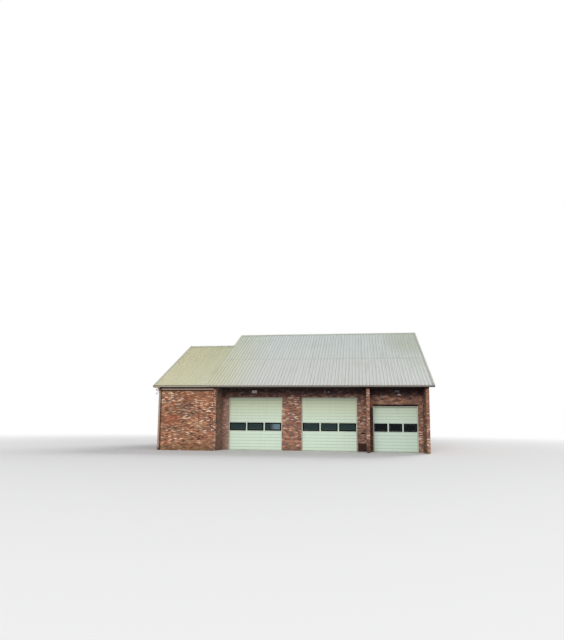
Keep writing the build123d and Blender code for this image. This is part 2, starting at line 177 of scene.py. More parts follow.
class Graph:
    """Makes the nodes of one material or of the world."""

    MIX_A, MIX_B, MIX_RESULT = 6, 7, 2

    def __init__(self, tree: bpy.types.NodeTree) -> None:
        """Starts from an empty tree."""
        self.tree = tree
        self.tree.nodes.clear()

    def node(self, kind: str, settings: Settings = None, inputs: Inputs = None) -> bpy.types.Node:
        """Makes a node, sets it, then feeds its sockets.

        Args:
            kind: the node's type, such as ShaderNodeBump.
            settings: the node's own properties, or a ramp's stops.
            inputs: a value or a Socket for each named or numbered input.

        Returns:
            The node.
        """
        made = self.tree.nodes.new(kind)
        for name, value in (settings or {}).items():
            if name == "stops":
                self.set_stops(made.color_ramp, value)
            else:
                setattr(made, name, value)
        for name, value in (inputs or {}).items():
            if isinstance(value, Socket):
                self.tree.links.new(value.output, made.inputs[name])
            else:
                made.inputs[name].default_value = value
        return made

    @staticmethod
    def set_stops(ramp: bpy.types.ColorRamp, stops: Stops) -> None:
        """Sets the colours of a ramp, each held up to the next.

        Args:
            ramp: the ramp, as a new node has it, with two stops.
            stops: where each colour starts, from 0 to 1, and the colour.
        """
        ramp.interpolation = "CONSTANT"
        for number, (position, shade) in enumerate(stops):
            stop = ramp.elements[number] if number < 2 else ramp.elements.new(position)
            stop.position = position
            stop.color = shade

    def out(self, kind: str, output: str | int, settings: Settings = None, inputs: Inputs = None) -> Socket:
        """Makes a node and returns one of its outputs."""
        return Socket(self, self.node(kind, settings, inputs).outputs[output])

    def math(self, operation: str, *values: Socket | float) -> Socket:
        """Arithmetic on sockets and numbers."""
        feeds = dict(enumerate(values))
        return self.out("ShaderNodeMath", "Value", {"operation": operation}, feeds)

    def place(self) -> Socket:
        """Position in the row frame, because every piece sits at the origin."""
        return self.out("ShaderNodeTexCoord", "Object")

    def axes(self, vector: Socket) -> tuple[Socket, Socket, Socket]:
        """The X, Y and Z of a vector."""
        split = self.node("ShaderNodeSeparateXYZ", None, {"Vector": vector})
        return tuple(Socket(self, split.outputs[axis]) for axis in "XYZ")

    def stretch(self, vector: Socket, scale: Point) -> Socket:
        """A vector with its axes scaled apart, for grain and streaks."""
        settings = {"operation": "MULTIPLY"}
        return self.out("ShaderNodeVectorMath", "Vector", settings, {0: vector, 1: scale})

    def noise(self, vector: Socket, scale: float, detail: float = 2.0) -> Socket:
        """Soft noise from 0 to 1."""
        inputs = {"Vector": vector, "Scale": scale, "Detail": detail}
        return self.out("ShaderNodeTexNoise", "Fac", {"noise_dimensions": "3D"}, inputs)

    def ragged(self, value: Socket, place: Socket, scale: float, detail: float, reach: float) -> Socket:
        """A value whose level lines wander over a reach."""
        return value + (self.noise(place, scale, detail) - 0.5) * reach

    def white(self, value: Socket) -> Socket:
        """An even random number for each whole value."""
        return self.out("ShaderNodeTexWhiteNoise", "Value", {"noise_dimensions": "1D"}, {"W": value})

    def fade(self, value: Socket, start: float, end: float) -> Socket:
        """0 at start, 1 at end, smooth between them and held beyond."""
        inputs = {"Value": value, "From Min": start, "From Max": end}
        return self.out("ShaderNodeMapRange", "Result", {"interpolation_type": "SMOOTHSTEP"}, inputs)

    def band(self, value: Socket, low: float, high: float, soft: float) -> Socket:
        """1 between low and high, with soft edges."""
        return self.fade(value, low - soft, low + soft) * self.fade(value, high + soft, high - soft)

    def mix(
        self,
        factor: Socket | float,
        first: Socket | Colour,
        second: Socket | Colour,
        label: str = "",
    ) -> Socket:
        """Mixes two colours.

        Args:
            factor: the share of the second colour, held from 0 to 1.
            first: the colour at 0.
            second: the colour at 1.
            label: what the node editor calls it.

        Returns:
            The mixed colour.
        """
        settings = {"data_type": "RGBA", "clamp_factor": True, "label": label}
        inputs = {0: factor, self.MIX_A: first, self.MIX_B: second}
        return self.out("ShaderNodeMix", self.MIX_RESULT, settings, inputs)

    def bump(self, height: Socket, distance: float, strength: float) -> Socket:
        """A normal from a height; distance is the height's real size."""
        inputs = {"Height": height, "Distance": distance, "Strength": strength}
        return self.out("ShaderNodeBump", "Normal", None, inputs)

    def finish(self, inputs: Inputs) -> None:
        """Ends the material in one Principled shader."""
        surface = self.out("ShaderNodeBsdfPrincipled", "BSDF", None, inputs)
        self.node("ShaderNodeOutputMaterial", None, {"Surface": surface})


# Finishes


@dataclass(frozen=True)
class Coat:
    """A thin coat of another colour, laid on in soft blotches of noise."""

    shade: Colour
    amount: float
    scale: float
    detail: float
    start: float
    end: float

    def over(self, graph: Graph, place: Socket, body: Socket) -> Socket:
        """Lays the coat over a colour."""
        mask = graph.fade(graph.noise(place, self.scale, self.detail), self.start, self.end)
        return graph.mix(mask * self.amount, body, self.shade)


@dataclass(frozen=True)
class Patch:
    """A soft-edged part of a surface with a tone of its own."""

    name: str
    across: Span
    depth: Span
    up: Span
    shade: Colour
    amount: float
    soft: Point

    def over(self, graph: Graph, axes: Sequence[Socket], body: Socket) -> Socket:
        """Lays the patch over a colour.

        Args:
            graph: the nodes.
            axes: X, Y and Z.
            body: the colour without the patch.

        Returns:
            The colour with the patch, mixed in a node that bears its name.
        """
        inside = self.amount
        for value, span, soft in zip(axes, (self.across, self.depth, self.up), self.soft):
            inside = graph.band(value, *span, soft) * inside
        return graph.mix(inside, body, self.shade, self.name)


@dataclass(frozen=True)
class Finish:
    """A surface's look; each kind says how it is shaded."""

    name: str
    base: Colour
    roughness: float = 0.6
    gloss: float = 0.3
    patches: tuple[Patch, ...] = ()

    def material(self) -> Material:
        """Builds the material.

        Returns:
            A new material with this finish's nodes.
        """
        made = bpy.data.materials.new(self.name)
        made.use_nodes = True
        self.shade(Graph(made.node_tree))
        return made

    def shade(self, graph: Graph) -> None:
        """Makes the nodes."""
        raise NotImplementedError

    def patched(self, graph: Graph, axes: Sequence[Socket], body: Socket) -> Socket:
        """Lays every patch over a colour.

        Args:
            graph: the nodes.
            axes: X, Y and Z.
            body: the colour without the patches.

        Returns:
            The patched colour.
        """
        for patch in self.patches:
            body = patch.over(graph, axes, body)
        return body

    def end(self, graph: Graph, body: Socket, normal: Socket, **others: Socket | float) -> None:
        """Ends the material with this finish's gloss, and its roughness unless that varies."""
        inputs = {"Base Color": body, "Normal": normal, "Specular IOR Level": self.gloss}
        graph.finish({**inputs, "Roughness": self.roughness, **others})


@dataclass(frozen=True)
class Masonry(Finish):
    """What brick and mortar share: soot and painted shade under the eaves, splashes at the foot, and
    patches.
    """

    roughness: float = 0.92
    gloss: float = 0.12
    drift: Coat = Coat(colour(106, 72, 56), 0.22, 0.55, 3, 0.42, 0.7)
    foot_dirt: Colour = colour(94, 78, 50)
    foot_height: float = 0.6
    foot_amount: float = 0.5
    # soot with painted shade: a bluish darkening high in the porch, where the overhang shades the walls
    soot: Colour = colour(28, 24, 42)
    soot_and_shade_levels: Span = (3.4, 4.02)
    soot_and_shade_depths: Span = (-9.8, -8.1)
    soot_and_shade_edge: float = 0.1
    soot_and_shade_amount: float = 0.64

    def weathered(self, graph: Graph, shade: Socket) -> Socket:
        """Lays the wall's dirt, and soot with painted shade under the porch eaves, over a colour.

        Args:
            graph: the nodes.
            shade: the clean colour.

        Returns:
            The weathered colour.
        """
        place = graph.place()
        x, y, z = graph.axes(place)
        body = self.drift.over(graph, place, shade)
        ragged = graph.ragged(z, place, 2.2, 4, 0.5)
        splashed = graph.fade(ragged, self.foot_height, 0.0) * self.foot_amount
        body = graph.mix(splashed, body, self.foot_dirt)
        # soot and painted shade, darker towards the soffit and only inside the porch
        sooty = graph.fade(ragged * 0.4 + z * 0.6, *self.soot_and_shade_levels)
        porch = graph.band(y, *self.soot_and_shade_depths, self.soot_and_shade_edge)
        body = graph.mix(sooty * porch * self.soot_and_shade_amount, body, self.soot)
        return self.patched(graph, (x, y, graph.ragged(z, place, 7, 3, 0.12)), body)


@dataclass(frozen=True)
class BrickFinish(Masonry):
    """Old mixed bricks, each with its own tone, lime smears and a sandy face.

    The base is the fired clay that shows in a face's pits.
    """

    tones: Stops = (
        (0.0, colour(60, 36, 30)),
        (0.1, colour(104, 78, 54)),
        (0.17, colour(116, 60, 42)),
        (0.34, colour(148, 79, 55)),
        (0.56, colour(178, 102, 71)),
        (0.76, colour(208, 136, 102)),
        (0.88, colour(246, 192, 158)),
        (0.95, colour(255, 230, 208)),
    )
    cluster: float = 0.5
    plum: Colour = colour(74, 42, 50)
    buff: Colour = colour(238, 208, 162)
    odd_amount: float = 0.28
    second_draw: float = 977.0
    third_draw: float = 431.0
    vitrified: Colour = colour(92, 76, 80)
    vitrified_from: float = 0.9
    vitrified_amount: float = 0.6
    pitted: float = 0.5
    lime: Colour = colour(216, 184, 162)
    lime_amount: float = 0.28

    def shade(self, graph: Graph) -> None:
        """Picks a tone for each brick, then smears, weathers and roughens it.

        Args:
            graph: the nodes.
        """
        place = graph.place()
        own = graph.out("ShaderNodeNewGeometry", "Random Per Island")
        clustered = graph.ragged(own, place, 0.9, 2, self.cluster)
        body = graph.out("ShaderNodeValToRGB", "Color", {"stops": self.tones}, {"Fac": clustered})
        second = graph.white(own * self.second_draw)
        body = graph.mix(self.odd_amount, body, graph.mix(second, self.plum, self.buff))
        burnt = self.vitrified_from
        glassy = graph.fade(graph.white(own * self.third_draw), burnt - 0.01, burnt + 0.01)
        body = graph.mix(glassy * self.vitrified_amount, body, self.vitrified)
        grain = graph.noise(place, 46, 4)
        body = graph.mix(graph.fade(grain, 0.56, 0.8) * self.pitted, body, self.base)
        smear = graph.fade(graph.noise(place, 8.5, 4) + second * 0.12, 0.62, 0.72)
        body = graph.mix(smear * self.lime_amount, body, self.lime)
        relief = grain + graph.noise(place, 160, 2) * 0.5
        self.end(graph, self.weathered(graph, body), graph.bump(relief, 0.003, 0.8))


@dataclass(frozen=True)
class MortarFinish(Masonry):
    """Sandy, struck mortar behind and between the bricks."""

    sand: Colour = colour(120, 102, 88)
    sand_amount: float = 0.5
    lime: Coat = Coat(colour(186, 170, 150), 0.35, 3.2, 3, 0.45, 0.65)

    def shade(self, graph: Graph) -> None:
        """Speckles the mortar and weathers it as the bricks are.

        Args:
            graph: the nodes.
        """
        place = graph.place()
        grains = graph.noise(place, 120, 3)
        body = graph.mix(graph.fade(grains, 0.5, 0.72) * self.sand_amount, self.base, self.sand)
        body = self.weathered(graph, self.lime.over(graph, place, body))
        self.end(graph, body, graph.bump(grains, 0.002, 0.7))


@dataclass(frozen=True)
class Slope:
    """One roof slope: how far its sheets reach, and where its ribs fall."""

    node: str
    left: float
    right: float
    eave_y: float
    ridge_y: float
    pitch: float = 0.2286

    @classmethod
    def read(cls, node: str) -> Slope:
        """Reads a slope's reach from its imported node.

        Args:
            node: the node's name, which ends in front or back.

        Returns:
            The slope.
        """
        low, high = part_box(node)
        eave, ridge = (low.y, high.y) if node.endswith("front") else (high.y, low.y)
        return cls(node, low.x, high.x, eave, ridge)

    @property
    def ribs(self) -> int:
        """How many ribs it has."""
        return int((self.right - self.left) / self.pitch)

    @property
    def first_rib(self) -> float:
        """The first rib's middle."""
        return (self.left + self.right) / 2 - (self.ribs - 1) * self.pitch / 2

    @property
    def inward(self) -> int:
        """Which way along Y the ridge lies."""
        return 1 if self.ridge_y > self.eave_y else -1


@dataclass(frozen=True)
class Stain:
    """A soft, ragged patch on a roof."""

    x: float
    y: float
    reach_x: float
    reach_y: float
    shade: Colour
    amount: float

    def over(self, graph: Graph, place: Socket, body: Socket) -> Socket:
        """Lays the stain over a colour.

        Args:
            graph: the nodes.
            place: position in the row frame.
            body: the colour without the stain.

        Returns:
            The stained colour.
        """
        x, y, _ = graph.axes(place)
        wide, long = (x - self.x) / self.reach_x, (y - self.y) / self.reach_y
        away = graph.math("SQRT", wide * wide + long * long)
        ragged = graph.ragged(away, place, 1.2 / self.reach_x, 3, 0.7)
        return graph.mix(graph.fade(ragged, 1.1, 0.5) * self.amount, body, self.shade)


@dataclass(frozen=True)
class RoofFinish(Finish):
    """Painted ribbed sheet on both slopes of one roof.

    Dirt and painted shade lie along the ribs' feet, more on their right; the rib tops and left sides are
    rain-cleaned and carry a painted highlight; each sheet has its own tone, and the slope's underside shows
    stained boards.
    """

    roughness: float = 0.5
    front: Slope = field(kw_only=True)
    back: Slope = field(kw_only=True)
    grime_and_shade: Colour = colour(120, 124, 114)
    clean_and_lit: Colour = colour(236, 238, 234)
    lichen: Colour = colour(150, 160, 132)
    specks: Coat = Coat(colour(150, 148, 136), 0.25, 38, 3, 0.66, 0.74)
    side_tint: Colour = colour(198, 200, 174)
    tint_from: float = -3.4
    tint_to: float = -6.0
    sheet_tone: float = 0.1
    rib_dirt_and_shade: float = 0.5
    rinse_and_highlight: float = 0.22
    run_amount: float = 0.2
    lichen_amount: float = 0.2
    ribs_in_sheet: int = 4
    first_lap: float = 0.59
    first_draw: float = 31.0
    side_lap: Colour = colour(104, 106, 102)
    lap_run: float | None = None
    ridge_tint: Colour = colour(157, 184, 187)
    ridge_amount: float = 0.33
    boards: Colour = colour(58, 50, 45)
    worn_boards: Colour = colour(92, 80, 68)
    # painted shade for the open rib ends and the gap under the sheets' front edge
    shaded_ends: Colour = colour(46, 39, 36)
    shaded_ends_from: float = 4.301
    stains: tuple[Stain, ...] = ()

    def shade(self, graph: Graph) -> None:
        """Lays runs down the slope, tones each sheet, and darkens ribs' feet, laps and ends.

        Args:
            graph: the nodes.
        """
        place = graph.place()
        x, y, z = graph.axes(place)
        ridge, pitch = self.front.ridge_y, self.front.pitch
        behind = graph.fade(y, ridge - 0.001, ridge + 0.001)
        phase = behind * (self.back.first_rib - self.front.first_rib) + self.front.first_rib
        ribs = (x - phase) / pitch + 0.5
        across = (graph.math("FRACT", ribs) - 0.5) * pitch
        sheets = (ribs - self.first_lap) / self.ribs_in_sheet

        body = graph.mix(graph.fade(x, self.tint_from, self.tint_to), self.base, self.side_tint)
        rise = graph.fade(abs(y - ridge), abs(self.front.eave_y - ridge), 0.0)
        body = graph.mix(rise * self.ridge_amount, body, self.ridge_tint)
        own = graph.white(graph.math("FLOOR", sheets) + self.first_draw)
        body = graph.mix(own * self.sheet_tone, body, self.clean_and_lit)
        body = self.soiled(graph, body, place, across)
        body = self.lapped(graph, body, y - ridge, sheets)
        _, forward, upward = graph.axes(graph.out("ShaderNodeNewGeometry", "True Normal"))
        # painted shade on the sheets' front edges and rib ends, which face the eave
        above = graph.fade(z, self.shaded_ends_from, self.shaded_ends_from + 0.002)
        body = graph.mix(graph.fade(abs(forward), 0.9, 0.95) * above, body, self.shaded_ends)
        for stain in self.stains:
            body = stain.over(graph, place, body)
        grain = graph.noise(graph.stretch(place, (30.0, 2.0, 2.0)), 1.0, 4)
        planks = graph.mix(grain, self.boards, self.worn_boards)
        body = graph.mix(graph.fade(upward, -0.1, -0.3), body, planks)

        chalk = graph.noise(place, 2.6, 3)
        dents = graph.noise(graph.stretch(place, (1.0, 0.35, 0.35)), 2.2, 2)
        roughness = self.roughness + (chalk - 0.5) * 0.3
        self.end(graph, body, graph.bump(dents, 0.004, 0.5), Roughness=roughness)

    def soiled(self, graph: Graph, body: Socket, place: Socket, across: Socket) -> Socket:
        """Dirt and painted shade beside the ribs, a painted highlight on their lit side, runs, lichen and
        specks.

        Args:
            graph: the nodes.
            body: the clean colour.
            place: position in the row frame.
            across: distance from the nearest rib's middle.

        Returns:
            The soiled colour.
        """
        runs = graph.noise(graph.stretch(place, (9.0, 0.22, 0.22)), 1.0, 4)
        # dirt with painted shade along the ribs' feet, stronger on their right, the side away from the key
        # light
        right, left = graph.band(across, 0.02, 0.1, 0.016), graph.band(across, -0.05, -0.024, 0.012)
        beside = (right + left * 0.4) * (0.5 + runs * 0.7)
        body = graph.mix(beside * self.rib_dirt_and_shade, body, self.grime_and_shade)
        # rain-cleaned rib tops and left sides, with a painted highlight on the side the light falls on
        rinsed_and_lit = graph.band(across, -0.1, 0.012, 0.016)
        body = graph.mix(rinsed_and_lit * self.rinse_and_highlight, body, self.clean_and_lit)
        body = graph.mix(graph.fade(runs, 0.5, 0.78) * self.run_amount, body, self.grime_and_shade)
        body = Coat(self.lichen, self.lichen_amount, 0.42, 4, 0.52, 0.74).over(graph, place, body)
        return self.specks.over(graph, place, body)

    def lapped(self, graph: Graph, body: Socket, run: Socket, sheets: Socket) -> Socket:
        """Side laps on their ribs, and the end lap across the slope with duller sheets above it.

        Args:
            graph: the nodes.
            body: the colour so far.
            run: distance from the ridge along Y.
            sheets: X counted in sheets.

        Returns:
            The colour with its laps.
        """
        seam = graph.band(graph.math("FRACT", sheets), 0.0, 0.004, 0.002)
        body = graph.mix(seam * 0.6, body, self.side_lap)
        if self.lap_run is None:
            return body
        down = abs(run) - self.lap_run
        body = graph.mix(graph.fade(down, 0.01, -0.01) * 0.05, body, self.ridge_tint)
        # a band of dirt and painted shade just below the end lap's step
        return graph.mix(graph.band(down, 0.0, 0.045, 0.02) * 0.12, body, self.grime_and_shade)


@dataclass(frozen=True)
class PaintedMetal(Finish):
    """Painted sheet or cast metal with runs and specks of dirt, and dulled patches."""

    dirt: Colour = colour(92, 82, 72)
    amount: float = 0.35
    chalk: float = 0.18
    metallic: float = 0.0
    joint: Colour = colour(60, 52, 46)
    joint_step: float | None = None
    joint_width: float = 0.004

    def clean(self, graph: Graph, place: Socket) -> Socket | Colour:
        """The paint's colour before it is soiled."""
        return self.base

    def shade(self, graph: Graph) -> None:
        """Runs dirt downwards, dulls the paint in patches and marks the joints between lengths.

        Args:
            graph: the nodes.
        """
        place = graph.place()
        axes = graph.axes(place)
        runs = graph.noise(graph.stretch(place, (14.0, 14.0, 1.4)), 1.0, 4)
        paint = self.clean(graph, place)
        body = graph.mix(graph.fade(runs, 0.48, 0.75) * self.amount, paint, self.dirt)
        dulled = graph.noise(place, 5.0, 4)
        faded = graph.mix(self.chalk, body, WHITE)
        body = graph.mix(graph.fade(dulled, 0.55, 0.7) * 0.5, body, faded)
        body = Coat(self.dirt, self.amount, 42, 3, 0.7, 0.74).over(graph, place, body)
        if self.joint_step is not None:
            along = graph.math("FRACT", axes[0] / self.joint_step) * self.joint_step
            drip = graph.band(along, -0.02, 0.05, 0.03) * graph.fade(runs, 0.4, 0.6)
            body = graph.mix(drip * 0.4, body, self.dirt)
            line = graph.band(along, 0.0, self.joint_width, 0.002)
            body = graph.mix(line * 0.8, body, self.joint)
        body = self.patched(graph, axes, body)
        roughness = self.roughness + (dulled - 0.5) * 0.25
        normal = graph.bump(graph.noise(place, 9, 3), 0.002, 0.4)
        self.end(graph, body, normal, Roughness=roughness, Metallic=self.metallic)


@dataclass(frozen=True)
class TwoToneMetal(PaintedMetal):
    """Painted metal whose lower part has a paint of its own."""

    lower_paint: Colour = field(kw_only=True)
    lower_from: float = field(kw_only=True)

    def clean(self, graph: Graph, place: Socket) -> Socket:
        """Splits the two paints at a level."""
        lower = graph.fade(graph.axes(place)[2], self.lower_from + 0.001, self.lower_from - 0.001)
        return graph.mix(lower, self.base, self.lower_paint)


@dataclass(frozen=True)
class GutterFinish(PaintedMetal):
    """Gutter paint, lighter along the wing, with painted shadow of the sheets' edge along its top."""

    wing_paint: Colour = colour(182, 170, 153)
    wing_to: float = -5.5
    # painted shadow cast on the gutter's top by the overhanging sheets
    sheet_edge_shadow: Colour = colour(38, 25, 16)
    sheet_edge_shadow_from: float = 4.254
    sheet_edge_shadow_amount: float = 0.55

    def clean(self, graph: Graph, place: Socket) -> Socket:
        """Mixes both lengths' paint and the painted shadow along the top.

        Args:
            graph: the nodes.
            place: position in the row frame.

        Returns:
            The paint with its painted shadow, which is strongest along the wing.
        """
        x, _, z = graph.axes(place)
        wing = graph.fade(x, self.wing_to + 0.05, self.wing_to - 0.05)
        paint = graph.mix(wing, self.base, self.wing_paint)
        ragged = graph.ragged(z, place, 3.5, 3, 0.012)
        # painted shadow of the sheets' edge along the gutter's top
        sheet_edge_shadow = graph.fade(ragged, self.sheet_edge_shadow_from - 0.004, self.sheet_edge_shadow_from + 0.006)
        return graph.mix(sheet_edge_shadow * (self.sheet_edge_shadow_amount + wing * (1 - self.sheet_edge_shadow_amount)), paint, self.sheet_edge_shadow)


@dataclass(frozen=True)
class BoardFinish(Finish):
    """Painted or stained boards that run along X, with butt joints, grain and wear."""

    bare: Colour = colour(128, 112, 96)
    gaps: Colour = colour(14, 12, 11)
    board_length: float = 3.66
    board_width: float = 0.14
    wear: float = 0.25
    first_draw: float = 7.0

    def shade(self, graph: Graph) -> None:
        """Draws grain, the gaps between boards, butt joints and worn patches.

        Args:
            graph: the nodes.
        """
        place = graph.place()
        x, y, _ = graph.axes(place)
        grain = graph.noise(graph.stretch(place, (1.6, 34.0, 34.0)), 1.0, 5)
        fine = graph.noise(graph.stretch(place, (4.0, 150.0, 150.0)), 1.0, 3)
        rows = y / self.board_width
        own = graph.white(graph.math("FLOOR", rows) + self.first_draw)
        body = graph.mix(own * 0.3, self.base, self.bare)
        body = graph.mix(graph.fade(grain, 0.35, 0.75) * self.wear, body, self.bare)
        gap = graph.band(graph.math("FRACT", rows), 0.0, 0.03, 0.02)
        butt = graph.band(graph.math("FRACT", x / self.board_length), 0.0, 0.0012, 0.0006)
        lines = graph.math("MAXIMUM", gap, butt)
        body = graph.mix(lines * 0.7, body, self.gaps)
        normal = graph.bump(fine * 0.5 + grain - lines, 0.002, 0.6)
        self.end(graph, body, normal, Roughness=self.roughness + (grain - 0.5) * 0.2)


@dataclass(frozen=True)
class DoorEnamel(Finish):
    """Enamelled door sections: painted shade towards the head, dirt and painted shade in the pressed
    grooves, splashed foot and a rubber seal.
    """

    roughness: float = 0.42
    rib: float = 0.211
    first: float = 0.02
    seal: float = 0.008
    head_shade_over: Span = (1.5, 3.5)
    shaded_head_tone: Colour = colour(193, 204, 171)
    foot_tone: Colour = colour(209, 226, 207)
    grime_and_shade: Colour = colour(118, 122, 98)
    scuffs: Coat = Coat(colour(118, 122, 98), 0.2, 17, 4, 0.68, 0.76)
    splashes: Colour = colour(156, 152, 100)
    rubber: Colour = colour(96, 92, 84)

    def shade(self, graph: Graph) -> None:
        """Paints shade that darkens the enamel towards the head, darkens the grooves with dirt and painted
        shade, and dirties foot and seal.

        Args:
            graph: the nodes.
        """
        place = graph.place()
        x, y, z = graph.axes(place)
        # painted shade: the enamel darkens from the foot towards the head, under the porch roof
        head_shade = graph.fade(z, *self.head_shade_over)
        body = graph.mix(head_shade, self.foot_tone, self.shaded_head_tone)
        groove = graph.band(graph.math("FRACT", (z - self.first) / self.rib + 0.5), 0.45, 0.55, 0.04)
        runs = graph.noise(graph.stretch(place, (5.0, 5.0, 0.5)), 1.0, 4)
        # dirt and painted shade in the grooves, fainter where the head is shaded
        body = graph.mix(groove * (0.44 - head_shade * 0.24 + runs * 0.2), body, self.grime_and_shade)
        body = graph.mix(graph.fade(runs, 0.5, 0.8) * 0.1, body, self.grime_and_shade)
        ragged = graph.ragged(z, place, 3.0, 4, 0.24)
        body = graph.mix(graph.fade(ragged, 0.2, 0.0) * 0.12, body, self.splashes)
        body = self.patched(graph, (x, y, z), body)
        body = graph.mix(graph.fade(z, self.seal + 0.002, self.seal - 0.002), body, self.rubber)
        body = self.scuffs.over(graph, place, body)
        pebble = graph.noise(graph.stretch(place, (120.0, 120.0, 30.0)), 1.0, 2)
        roughness = self.roughness + graph.fade(ragged, 0.6, 0.0) * 0.3 + (runs - 0.5) * 0.12
        self.end(graph, body, graph.bump(pebble, 0.0008, 0.5), Roughness=roughness)


@dataclass(frozen=True)
class DoorGlass(Finish):
    """Dark double glazing with dust along the foot and faint smears."""

    roughness: float = 0.05
    gloss: float = 0.1
    clearness: float = 0.85
    dust: Colour = colour(120, 122, 116)
    dust_levels: Span = (1.54, 1.38)

    def shade(self, graph: Graph) -> None:
        """Dusts and smears the pane.

        Args:
            graph: the nodes.
        """
        place = graph.place()
        x, y, z = graph.axes(place)
        low = graph.fade(graph.ragged(z, place, 6, 3, 0.1), *self.dust_levels)
        smear = graph.fade(graph.noise(graph.stretch(place, (3.0, 3.0, 1.0)), 2.0, 4), 0.5, 0.8)
        film = low * 0.1 + smear * 0.05
        body = self.patched(graph, (x, y, z), graph.mix(film, self.base, self.dust))
        normal = graph.bump(graph.noise(place, 1.6, 1), 0.002, 0.3)
        roughness, alpha = self.roughness + film * 1.2, self.clearness + film
        self.end(graph, body, normal, Roughness=roughness, Alpha=alpha)


@dataclass(frozen=True)
class Rubbed(Finish):
    """Moulded plastic or rubber: fine grain, greyed where the sun and hands reach it."""

    grey: Colour = colour(70, 70, 70)
    greyed: float = 0.3

    def shade(self, graph: Graph) -> None:
        """Greys the surface in patches and grains it.

        Args:
            graph: the nodes.
        """
        place = graph.place()
        worn = graph.fade(graph.noise(place, 7, 4), 0.45, 0.75)
        body = graph.mix(worn * self.greyed, self.base, self.grey)
        normal = graph.bump(graph.noise(place, 300, 2), 0.0005, 0.5)
        self.end(graph, body, normal, Roughness=self.roughness + (worn - 0.5) * 0.15)


@dataclass(frozen=True)
class ConcreteFinish(Finish):
    """Trowelled concrete with clouds and pores."""

    roughness: float = 0.85
    cloudy: Colour = colour(150, 142, 128)
    pitted: Colour = colour(92, 86, 78)

    def shade(self, graph: Graph) -> None:
        """Clouds and pits the slab.

        Args:
            graph: the nodes.
        """
        place = graph.place()
        clouds = graph.noise(place, 1.3, 5)
        pores = graph.fade(graph.noise(place, 70, 2), 0.68, 0.76)
        body = graph.mix(graph.fade(clouds, 0.4, 0.7) * 0.45, self.base, self.cloudy)
        body = graph.mix(pores * 0.6, body, self.pitted)
        self.end(graph, body, graph.bump(clouds - pores * 0.4, 0.002, 0.6))


class Slot(str, Enum):
    """The record's material slots."""

    BRICK = "brick"
    CONCRETE = "concrete"
    ROOF = "roof_metal"
    WING_ROOF = "wing_roof_metal"
    TRIM = "trim_metal"
    GUTTER = "gutter_metal"
    DOWNSPOUT = "downspout_tan"
    SOFFIT = "soffit_dark"
    FRIEZE = "frieze_tan"
    DOOR = "door_enamel"
    DOOR_TRIM = "trim_cream"
    FRAME = "frame_black"
    GLASS = "door_glass"
    LIGHT_WHITE = "light_white"
    LIGHT_DARK = "light_dark"
    LIGHT_GREY = "light_grey"
    LETTER_SLOT = "slot_black"


# Mesh building


@dataclass
class Shape:
    """Collects corners and faces in the row frame, then becomes one piece."""

    name: str
    corners: list[Vector] = field(default_factory=list)
    faces: list[tuple[int, ...]] = field(default_factory=list)
    box_ends: ClassVar[Faces] = ((0, 2, 3, 1), (4, 5, 7, 6))
    box_sides: ClassVar[Faces] = ((0, 1, 5, 4), (2, 6, 7, 3), (0, 4, 6, 2), (1, 3, 7, 5))

    def add(self, corners: Sequence[Vector], faces: Sequence[Sequence[int]]) -> None:
        """Adds one closed or open form.

        Args:
            corners: its corners.
            faces: its faces, which count its own corners from 0.
        """
        start = len(self.corners)
        self.corners.extend(corners)
        self.faces.extend(tuple(start + corner for corner in face) for face in faces)

    def box(self, low: Point, high: Point) -> None:
        """Adds a box.

        Args:
            low: its corner at the left, the front and the foot.
            high: the opposite corner.
        """
        across, depth, up = zip(low, high)
        corners = [Vector((x, y, z)) for z in up for y in depth for x in across]
        self.add(corners, self.box_ends + self.box_sides)

    def turned(self, foot: Vector, axis: Vector, outline: Sequence[Span], sides: int) -> None:
        """Adds a form turned about an axis.

        Args:
            foot: where the axis starts.
            axis: its direction.
            outline: radius and height of each ring, from the foot up.
            sides: how many sides it has.
        """
        turn = axis.to_track_quat("Z", "Y")
        corners = [
            foot + turn @ Vector((radius * math.cos(angle), radius * math.sin(angle), height))
            for radius, height in outline
            for angle in (2 * math.pi * side / sides for side in range(sides))
        ]
        faces: list[tuple[int, ...]] = []
        for ring in range(0, (len(outline) - 1) * sides, sides):
            for side in range(sides):
                first, second = ring + side, ring + (side + 1) % sides
                faces.append((first, second, second + sides, first + sides))
        faces.append(tuple(range(sides))[::-1])
        faces.append(tuple(range(len(corners) - sides, len(corners))))
        self.add(corners, faces)

    def piece(self, slot: Slot, material: Material) -> bpy.types.Object:
        """Makes the object, finishes it and lets it ride on the building.

        Args:
            slot: the record's slot for the piece; not used.
            material: the finish.

        Returns:
            The piece.
        """
        mesh = bpy.data.meshes.new(self.name)
        mesh.from_pydata([tuple(corner) for corner in self.corners], [], self.faces)
        mesh.materials.append(material)
        made = bpy.data.objects.new(self.name, mesh)
        bpy.context.scene.collection.objects.link(made)
        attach(made, BODY)
        log.info("%s: %d faces", self.name, len(self.faces))
        return made


# The building's planes


@dataclass(frozen=True)
class Roofline:
    """A gable's straight slopes, at the height of the roof's underside."""

    ridge_y: float
    ridge_z: float
    rise: float = 0.487

    def under(self, y: float) -> float:
        """Height of the underside over a line at y."""
        return self.ridge_z - self.rise * abs(y - self.ridge_y)


@dataclass(frozen=True)
class DoorPlace:
    """One overhead door's opening."""

    name: str
    left: float
    right: float
    head: float


